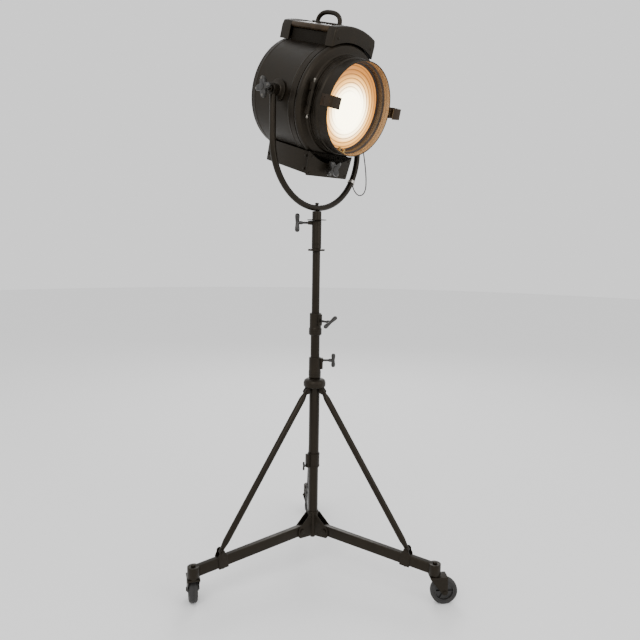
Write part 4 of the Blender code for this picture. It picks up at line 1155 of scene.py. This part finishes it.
class SPOTLIGHT_OT_drum(bpy.types.Operator):
    """Make the drum, its back cover, front ring, inlet gland and tilt trunnions"""

    bl_idname = "spotlight.drum"
    bl_label = "Drum"

    def execute(self, context):
        forms = [placed(lathe(drum_profile(), 144, 0.0010), BEAM)]
        make("drum_shell", forms, "rolled")
        top = VENT_EAVES - 0.016
        walls = [
            placed(block((start, start + 0.0025), (0.1760, top), (-0.1070, 0.0790), 0.0006), BEAM)
            for start in (0.090, -0.0925)
        ]
        # The vent walls' dark paint is painted shade.
        make("drum_shell", walls, "recess", also="vent_walls")
        self.cover()
        self.ring()
        nut = BOSS_END + 0.0010
        for name, turn, tip in (("trunnion_right", 0, 0.0080), ("trunnion_left", 180, 0.0295)):
            start = DRUM_RADIUS + 0.0006
            profile = [(0, start), (0.0380, start), (0.0380, start + 0.0045), (0.0240, start + 0.0070)]
            profile += [(0.0200, start + 0.0098), (0.0060, start + 0.0098), (0.0060, nut), (0.0120, nut)]
            profile += [(0.0120, nut + 0.0040), (0.0090, nut + 0.0060), (0.0055, nut + 0.0060)]
            profile += [(0.0055, nut + tip), (0, nut + tip)]
            forms = [placed(lathe(profile, soft=0.0012), SIDEWAYS, about("Z", turn), HEAD)]
            for rivet in range(6):
                head = placed(screw(0.0030, 0.0016)[0], shift(x=0.0320, z=start + 0.0042))
                forms.append(placed(head, about("Z", 60 * rivet), SIDEWAYS, about("Z", turn), HEAD))
            make(name, forms, "cast")
        return {"FINISHED"}

    def cover(self):
        back = DRUM_BACK
        profile = [(0, back - 0.0220), (0.060, back - 0.0218), (0.120, back - 0.0200)]
        profile += [(0.150, back - 0.0177), (0.185, back - 0.0130), (0.1985, back - 0.0075)]
        profile += [(0.2005, back - 0.0003), (0.1960, back - 0.0003), (0.1830, back - 0.0090)]
        profile += [(0.120, back - 0.0160), (0, back - 0.0180)]
        forms = [placed(lathe(profile, 144, 0.0040), BEAM)]
        for number in range(8):
            angle = math.radians(22.5 + 45 * number)
            head = placed(screw(0.0042, 0.0022)[0], about("X", 180))
            lift = shift(0.172 * math.cos(angle), 0.172 * math.sin(angle), back - 0.0146)
            forms.append(placed(head, lift, BEAM))
        make("rear_cover", forms, "rolled")
        gland = [(0.0050, back - 0.0580), (0.0090, back - 0.0580), (0.0098, back - 0.0500)]
        gland += [(0.0092, back - 0.0490), (0.0105, back - 0.0430), (0.0099, back - 0.0420)]
        gland += [(0.0115, back - 0.0370), (0.0150, back - 0.0350), (0.0150, back - 0.0212)]
        gland += [(0, back - 0.0212), (0, back - 0.0290), (0.0050, back - 0.0290)]
        form = lathe([gland[-3], *gland[:-3][::-1], gland[-1], gland[-2]], 48, 0.0004)
        make("inlet_gland", [placed(form, beam_at(z=-0.10))], "wheel")

    def ring(self):
        profile = [(0.1880, 0.0890), (0.1965, 0.0890), (0.2010, 0.0935), (0.2025, 0.1010)]
        profile += [(0.2005, 0.1090), (0.1940, 0.1160), (0.1700, 0.1190), (0.1665, 0.1230)]
        profile += [(0.1660, 0.1305), (0.1520, 0.1305), (0.1520, 0.1130), (0.1860, 0.1080)]
        forms = [placed(lathe(profile, 144, 0.0022), BEAM)]
        leaf = [(HINGE_SIDE - 0.0035, -0.1225), (-0.1580, -0.1225), (-0.1580, -0.1275)]
        leaf += [(HINGE_SIDE + 0.0025, -0.1275), (HINGE_SIDE + 0.0025, -0.1350)]
        leaf += [(HINGE_SIDE - 0.0035, -0.1350)]
        for low, high in ((0.026, 0.052), (-0.052, -0.026)):
            forms.append(placed(plate(leaf, low, high, 0.0006), HEAD))
            tube = lathe([(0.0032, low), (0.0064, low), (0.0064, high), (0.0032, high)], 40)
            forms.append(placed(tube, shift(HINGE_SIDE, -HINGE_FORWARD), HEAD))
        make("front_ring", forms, "cast")


def cap_outline(inwards=0.0, lift=0.0):
    """A vent cap's front: top z = eaves + rise cos(pi x / 2w)^0.7, straight sides, the drum's curve."""
    half = VENT_HALF_WIDTH - inwards
    radius = CAP_INNER_RADIUS + lift
    foot = math.degrees(math.acos(half / radius))
    corner = 0.012
    x = np.linspace(1, -1, 41) * (half - corner * 0.4)
    top = VENT_EAVES - inwards + (VENT_RIDGE - VENT_EAVES) * np.cos(math.pi / 2 * x / half) ** 0.7
    side = VENT_EAVES - inwards - corner
    below = arc((0, 0), radius, 180 - foot, foot, 40)
    return np.concatenate([below, [(half, side)], np.column_stack([x, top]), [(-half, side)]])


class SPOTLIGHT_OT_vent(bpy.types.Operator):
    """Make the chimney on the drum: two cast caps, the rolled roof and the carrying handle"""

    bl_idname = "spotlight.vent"
    bl_label = "Vent and handle"

    def execute(self, context):
        outer, inner = cap_outline(), cap_outline(0.0035, 0.0035)
        edge = 0.0075
        turn = np.radians(np.linspace(0, 90, 8))
        rims = [(edge * (1 - math.sin(a)), edge * (1 - math.cos(a))) for a in reversed(turn)]
        for name, shut, mouth, floor in (
            ("vent_front", 0.1175, 0.0795, 0.1135),
            ("vent_rear", -0.1580, -0.1080, -0.1540),
        ):
            step = 1 if shut > mouth else -1
            sections = [at_height(inner, floor), at_height(inner, mouth), at_height(outer, mouth)]
            sections += [at_height(cap_outline(i), shut - step * rise) for i, rise in rims]
            forms = [placed(loft(sections), BEAM)]
            for x, y in ((-0.085, 0.205), (0.085, 0.205)):
                head = placed(screw(0.0038, 0.0020)[0], about("X", 90 - 90 * step))
                forms.append(placed(head, shift(x, y, shut), BEAM))
            make(name, forms, "cast")
        self.roof()
        self.handle()
        return {"FINISHED"}

    def roof(self):
        """A sheet that rises z = eaves + rise sin(pi s / 2) to its ridge and is rolled under at each side."""
        side = VENT_HALF_WIDTH - 0.0085
        roll = (0.0045 - side, VENT_EAVES - 0.0040)
        eaves = VENT_EAVES + 0.0055
        s = np.linspace(0, 1, 17)
        rise = np.sin(math.pi / 2 * s) * (VENT_RIDGE - 0.0040 - eaves)
        ridge = np.column_stack([side * (s - 1), eaves + rise])
        left = np.concatenate([arc(roll, 0.0110, 260, 140, 12), ridge])
        under = np.concatenate([arc(roll, 0.0085, 260, 140, 12), ridge * (0.985, 1) - (0, 0.0028)])
        mirrored = (-1, 1)
        top = np.concatenate([left, left[-2::-1] * mirrored])
        bottom = np.concatenate([under[:-1] * mirrored, under[::-1]])
        form = plate(np.concatenate([top, bottom]), -0.1075, 0.0790, 0.0005, 0.0002)
        # The roof's lighter paint is a painted highlight.
        make("vent_roof", [placed(form, BEAM)], "roof")

    def handle(self):
        half, rise, middle = 0.056, 0.037, -0.033
        angle = np.linspace(0, math.pi, 65)
        across = -half * np.sign(np.cos(angle)) * np.abs(np.cos(angle)) ** 0.8
        height = VENT_RIDGE + 0.0010 + rise * np.abs(np.sin(angle)) ** 0.8
        path = np.column_stack([0 * angle, -(middle + across), height])
        forms = [placed(rod(path, 0.0080, (1, 0, 0), 28), HEAD)]
        seat = VENT_RIDGE - 0.0035
        ends = (-middle - half - 0.0155, -middle + half + 0.0155)
        forms.append(placed(block((-0.014, 0.014), ends, (seat, seat + 0.0070), 0.0015), HEAD))
        for along in ends:
            inwards = 0.0065 if along < -middle else -0.0065
            for side in (-0.009, 0.009):
                head = screw(0.0030, 0.0016)[0]
                forms.append(placed(head, shift(side, along + inwards, seat + 0.0068), HEAD))
        make("carry_handle", forms, "cast")


class SPOTLIGHT_OT_base(bpy.types.Operator):
    """Make the box under the drum, its front plate and its screws"""

    bl_idname = "spotlight.base"
    bl_label = "Base box"

    def execute(self, context):
        drop = math.degrees(math.acos(0.108 / CAP_INNER_RADIUS))
        curve = arc((0, 0), CAP_INNER_RADIUS, 180 + drop, 360 - drop, 40)
        outline = np.concatenate([curve, [(0.108, -0.176), (0.104, BOX_FLOOR), (-0.104, BOX_FLOOR)]])
        outline = np.concatenate([outline, [(-0.108, -0.176)]])
        forms = [placed(plate(outline, BOX_BACK, BOX_FRONT, 0.0014, 0.003), BEAM)]
        for side in (1, -1):
            for forward, height in ((-0.088, -0.190), (-0.088, -0.226), (0.108, -0.190), (0.108, -0.236)):
                lean = 0.108 - (height + 0.176) / (BOX_FLOOR + 0.176) * 0.004
                place = shift(side * (lean - 0.0003), height, forward)
                for form in bolt(0.0052, 0.0050):
                    forms.append(placed(form, about("Y", 90 * side), place, BEAM))
            slot = block((-0.060, 0.060), (-0.0022, 0.0022), (0, 0.0010), 0.0005)
            for height in (-0.205, -0.216, -0.227):
                lean = 0.108 - (height + 0.176) / (BOX_FLOOR + 0.176) * 0.004
                place = shift(side * (lean - 0.0002), height, 0.0)
                rib = placed(slot, about("X", 90), about("Z", -90 * side), about("X", 90))
                forms.append(placed(rib, place, BEAM))
        make("base_box", forms, "rolled")

        foot = math.degrees(math.acos(0.112 / CAP_INNER_RADIUS))
        bottom = BOX_FLOOR - 0.0040
        front = arc((0, 0), CAP_INNER_RADIUS, 180 + foot, 360 - foot, 40)
        below = [(0.112, -0.176), (0.106, bottom), (-0.106, bottom), (-0.112, -0.176)]
        front = np.concatenate([front, below])
        forms = [plate(front, BOX_FRONT + 0.0003, PLATE_FRONT, 0.0016, 0.004)]
        boss = [(0.0056, PLATE_FRONT - 0.002), (0.0080, PLATE_FRONT - 0.002)]
        boss += [(0.0080, PLATE_FRONT + 0.0030), (0.0056, PLATE_FRONT + 0.0030)]
        forms.append(placed(lathe(boss), shift(y=SCREW_HEIGHT)))
        for x, y in ((-0.098, -0.190), (0.098, -0.190), (-0.095, -0.245), (0.095, -0.245)):
            forms.append(placed(screw(0.0040, 0.0022)[0], shift(x, y, PLATE_FRONT)))
        make("base_front_plate", [placed(form, BEAM) for form in forms], "cast")
        return {"FINISHED"}


def lens_profile(rings):
    """A stepped lens: each ring, R at its rim, rises 0.8 mm + 0.30 (R^2 - r^2) above its step."""
    outer = np.linspace(0.1400, 0.1400 / rings, rings)
    steps = []
    for wide in outer:
        narrow = max(wide - 0.1400 / rings, 0.0)
        r = np.linspace(wide, narrow, 5)
        steps += [(a, 0.1500 + 0.0008 + 0.30 * (wide**2 - a**2)) for a in r]
        steps[-5] = (wide, 0.1500)
    return [(0, 0.1440), (0.1485, 0.1440), (0.1485, 0.1530), (0.1405, 0.1530), *steps]


class SPOTLIGHT_OT_door(bpy.types.Operator):
    """Make the lens door: its barrel, lit inner wall, stepped lens, hinge, clips and latch"""

    bl_idname = "spotlight.door"
    bl_label = "Lens door"

    def execute(self, context):
        barrel = [(0.1490, 0.1315), (0.1650, 0.1315), (0.1650, 0.1640), (0.1615, 0.1680)]
        barrel += [(0.1610, 0.2080), (0.1578, 0.2080), (0.1576, 0.1814), (0.1514, 0.1774)]
        barrel += [(0.1511, 0.1579), (0.1435, 0.1559), (0.1435, 0.1535), (0.1490, 0.1535)]
        forms = [placed(lathe(barrel, 144, 0.0008), BEAM)]
        for height in (0.1400, 0.1480):
            bead = [(0.1645, height), (0.1660, height + 0.0008)]
            bead += [(0.1660, height + 0.0022), (0.1645, height + 0.003)]
            forms.append(placed(lathe(bead, 144, 0.0005), BEAM))
        place = shift(HINGE_SIDE, -HINGE_FORWARD)
        leaf = block((0.0015, 0.0110), (-0.0030, 0.0010), (-0.0255, 0.0255), 0.0005)
        tube = [(0.0032, -0.0255), (0.0064, -0.0255), (0.0064, 0.0255), (0.0032, 0.0255)]
        forms += [placed(form, place, HEAD) for form in (leaf, lathe(tube, 40))]
        make("lens_door", forms, "cast")
        self.wall()
        lens = lathe(lens_profile(settings().lens_rings), 144, 0.0001)
        make("fresnel_lens", [placed(lens, BEAM)], "lens", crease=20)
        rod_half = [(0, -0.0660), (0.0040, -0.0645), (0.0052, -0.0605), (0.0040, -0.0565), (0.0028, -0.0550)]
        hinge = lathe(rod_half + [(r, -h) for r, h in reversed(rod_half)], 32, 0.0008)
        make("hinge_rod", [placed(hinge, place, HEAD)], "worn")
        self.clips()
        self.latch()
        return {"FINISHED"}

    def wall(self):
        """A thin liner just proud of the barrel's inside, which carries the lens's light as painted lamplight
        in its colour.
        """
        liner = [(0.1577, 0.2075), (0.1572, 0.2075), (0.1570, 0.1820), (0.1508, 0.1780)]
        liner += [(0.1505, 0.1585), (0.1435, 0.1565), (0.1436, 0.1560), (0.1510, 0.1578)]
        liner += [(0.1513, 0.1775), (0.1575, 0.1815)]
        make("lens_door", [placed(lathe(liner, 144, 0.0002), BEAM)], "wall", also="lens_door_wall")

    def clips(self):
        foot, web, lip = 0.1620, 0.1800, 0.1400
        outline = [(foot, 0.1760), (foot + 0.003, 0.1760), (foot + 0.003, 0.2085), (web, 0.2085)]
        outline += [(web + 0.003, 0.2115), (web + 0.003, 0.2420), (web, 0.2450), (lip, 0.2450)]
        outline += [(lip, 0.2420), (web, 0.2420), (web, 0.2115), (foot, 0.2115)]
        for name, side, lean in (("clip_right", 1, -5), ("clip_left", -1, 2)):
            flat = [(side * x, -forward) for x, forward in outline]
            forms = [plate(flat, -0.0190, 0.0190, 0.0005, 0.0007)]
            for height in (-0.011, 0.011):
                head = placed(screw(0.0024, 0.0012)[0], about("Y", 90 * side))
                forms.append(placed(head, shift(side * (foot + 0.003), -0.190, height)))
            forms = [placed(form, about("Y", lean), HEAD) for form in forms]
            # The clips' brown paint is painted lamplight from the lens.
            make(name, forms, "clip")
        turn = HEAD @ about("Y", 13) @ Matrix.Rotation(math.radians(90), 4, "X")
        base = block((-0.018, 0.018), (-0.1545, -0.1520), (0.1880, 0.2060), 0.0005)
        forms = [placed(base, turn)]
        for middle in (-0.012, 0.012):
            post = block((middle - 0.0035, middle + 0.0035), (-0.1530, -0.1400), (0.1940, 0.2010), 0.0008)
            forms.append(placed(post, turn))
        # The brass colour is partly the metal and partly painted warm light from the lens on the clip's lips.
        make("clip_lower", forms, "brass")

    def latch(self):
        """A small turned catch on the ring, low on the side away from the hinge."""
        turn = about("Z", -62)
        lever = block((0.1700, 0.1860), (-0.0045, 0.0045), (0.1185, 0.1225), 0.0010)
        button = placed(screw(0.0044, 0.0040)[0], shift(x=0.1790, z=0.1225))
        forms = [placed(form, turn, BEAM) for form in (lever, button)]
        make("hinge_rod", forms, "brass", also="door_latch")


class SPOTLIGHT_OT_lamp(bpy.types.Operator):
    """Make the lamp, its mirror and the carriage that they ride on inside the drum"""

    bl_idname = "spotlight.lamp"
    bl_label = "Lamp carriage"

    def execute(self, context):
        travel = HEAD @ shift(y=-LAMP_FORWARD)
        beam = travel @ Matrix.Rotation(math.radians(90), 4, "X")
        forms = [placed(block((-0.030, 0.030), (-0.230, -0.195), (-0.030, 0.030), 0.002), beam)]
        forms.append(placed(block((-0.012, 0.012), (-0.200, -0.070), (-0.008, 0.008)), beam))
        forms.append(placed(block((-0.010, 0.010), (-0.200, -0.070), (-0.0290, -0.0255)), beam))
        table = lathe([(0, -0.0760), (0.0220, -0.0760), (0.0220, -0.0560), (0, -0.0560)])
        forms.append(placed(table, travel))
        make("lamp_carriage", forms, "worn")
        bulb = [(0, -0.0555), (0.0130, -0.0555), (0.0130, -0.0400), (0.0190, -0.0300), (0.0190, 0.0180)]
        dome = arc((0, 0.0180), 0.0190, 15, 75, 4)
        bulb += [tuple(point) for point in dome] + [(0, 0.0370)]
        make("lamp_bulb", [placed(lathe(bulb, 48, 0.002), travel)], "lamp")
        outer, inner = arc((0, 0), 0.0720, -90, -26, 18), arc((0, 0), 0.0700, -26, -90, 18)
        shell = [(max(r, 0.0), h) for r, h in np.concatenate([outer, inner])]
        shell[0], shell[-1] = (0, -0.0720), (0, -0.0700)
        make("reflector", [placed(lathe(shell, 96, 0.0001), beam)], "mirror")
        return {"FINISHED"}


OPERATORS = (
    SPOTLIGHT_OT_stage,
    SPOTLIGHT_OT_tether,
    SPOTLIGHT_OT_column,
    SPOTLIGHT_OT_legs,
    SPOTLIGHT_OT_casters,
    SPOTLIGHT_OT_locks,
    SPOTLIGHT_OT_yoke,
    SPOTLIGHT_OT_knobs,
    SPOTLIGHT_OT_drum,
    SPOTLIGHT_OT_vent,
    SPOTLIGHT_OT_base,
    SPOTLIGHT_OT_door,
    SPOTLIGHT_OT_lamp,
)


class SPOTLIGHT_PT_panel(bpy.types.Panel):
    """Lists the settings and the pieces in the order that they are built"""

    bl_idname = "SPOTLIGHT_PT_panel"
    bl_label = "Spotlight"
    bl_space_type = "VIEW_3D"
    bl_region_type = "UI"
    bl_category = "Spotlight"

    def draw(self, context):
        chosen = context.scene.spotlight_settings
        for name in SpotlightSettings.__annotations__:
            self.layout.prop(chosen, name)
        for operator in OPERATORS:
            self.layout.operator(operator.bl_idname)


CLASSES = (SpotlightSettings, *OPERATORS, SPOTLIGHT_PT_panel)


def register():
    for each in CLASSES:
        bpy.utils.register_class(each)
    bpy.types.Scene.spotlight_settings = PointerProperty(type=SpotlightSettings)


def unregister():
    del bpy.types.Scene.spotlight_settings
    for each in reversed(CLASSES):
        bpy.utils.unregister_class(each)


def main():
    register()
    for operator in OPERATORS:
        family, name = operator.bl_idname.split(".")
        getattr(getattr(bpy.ops, family), name)()


if __name__ == "__main__":
    main()
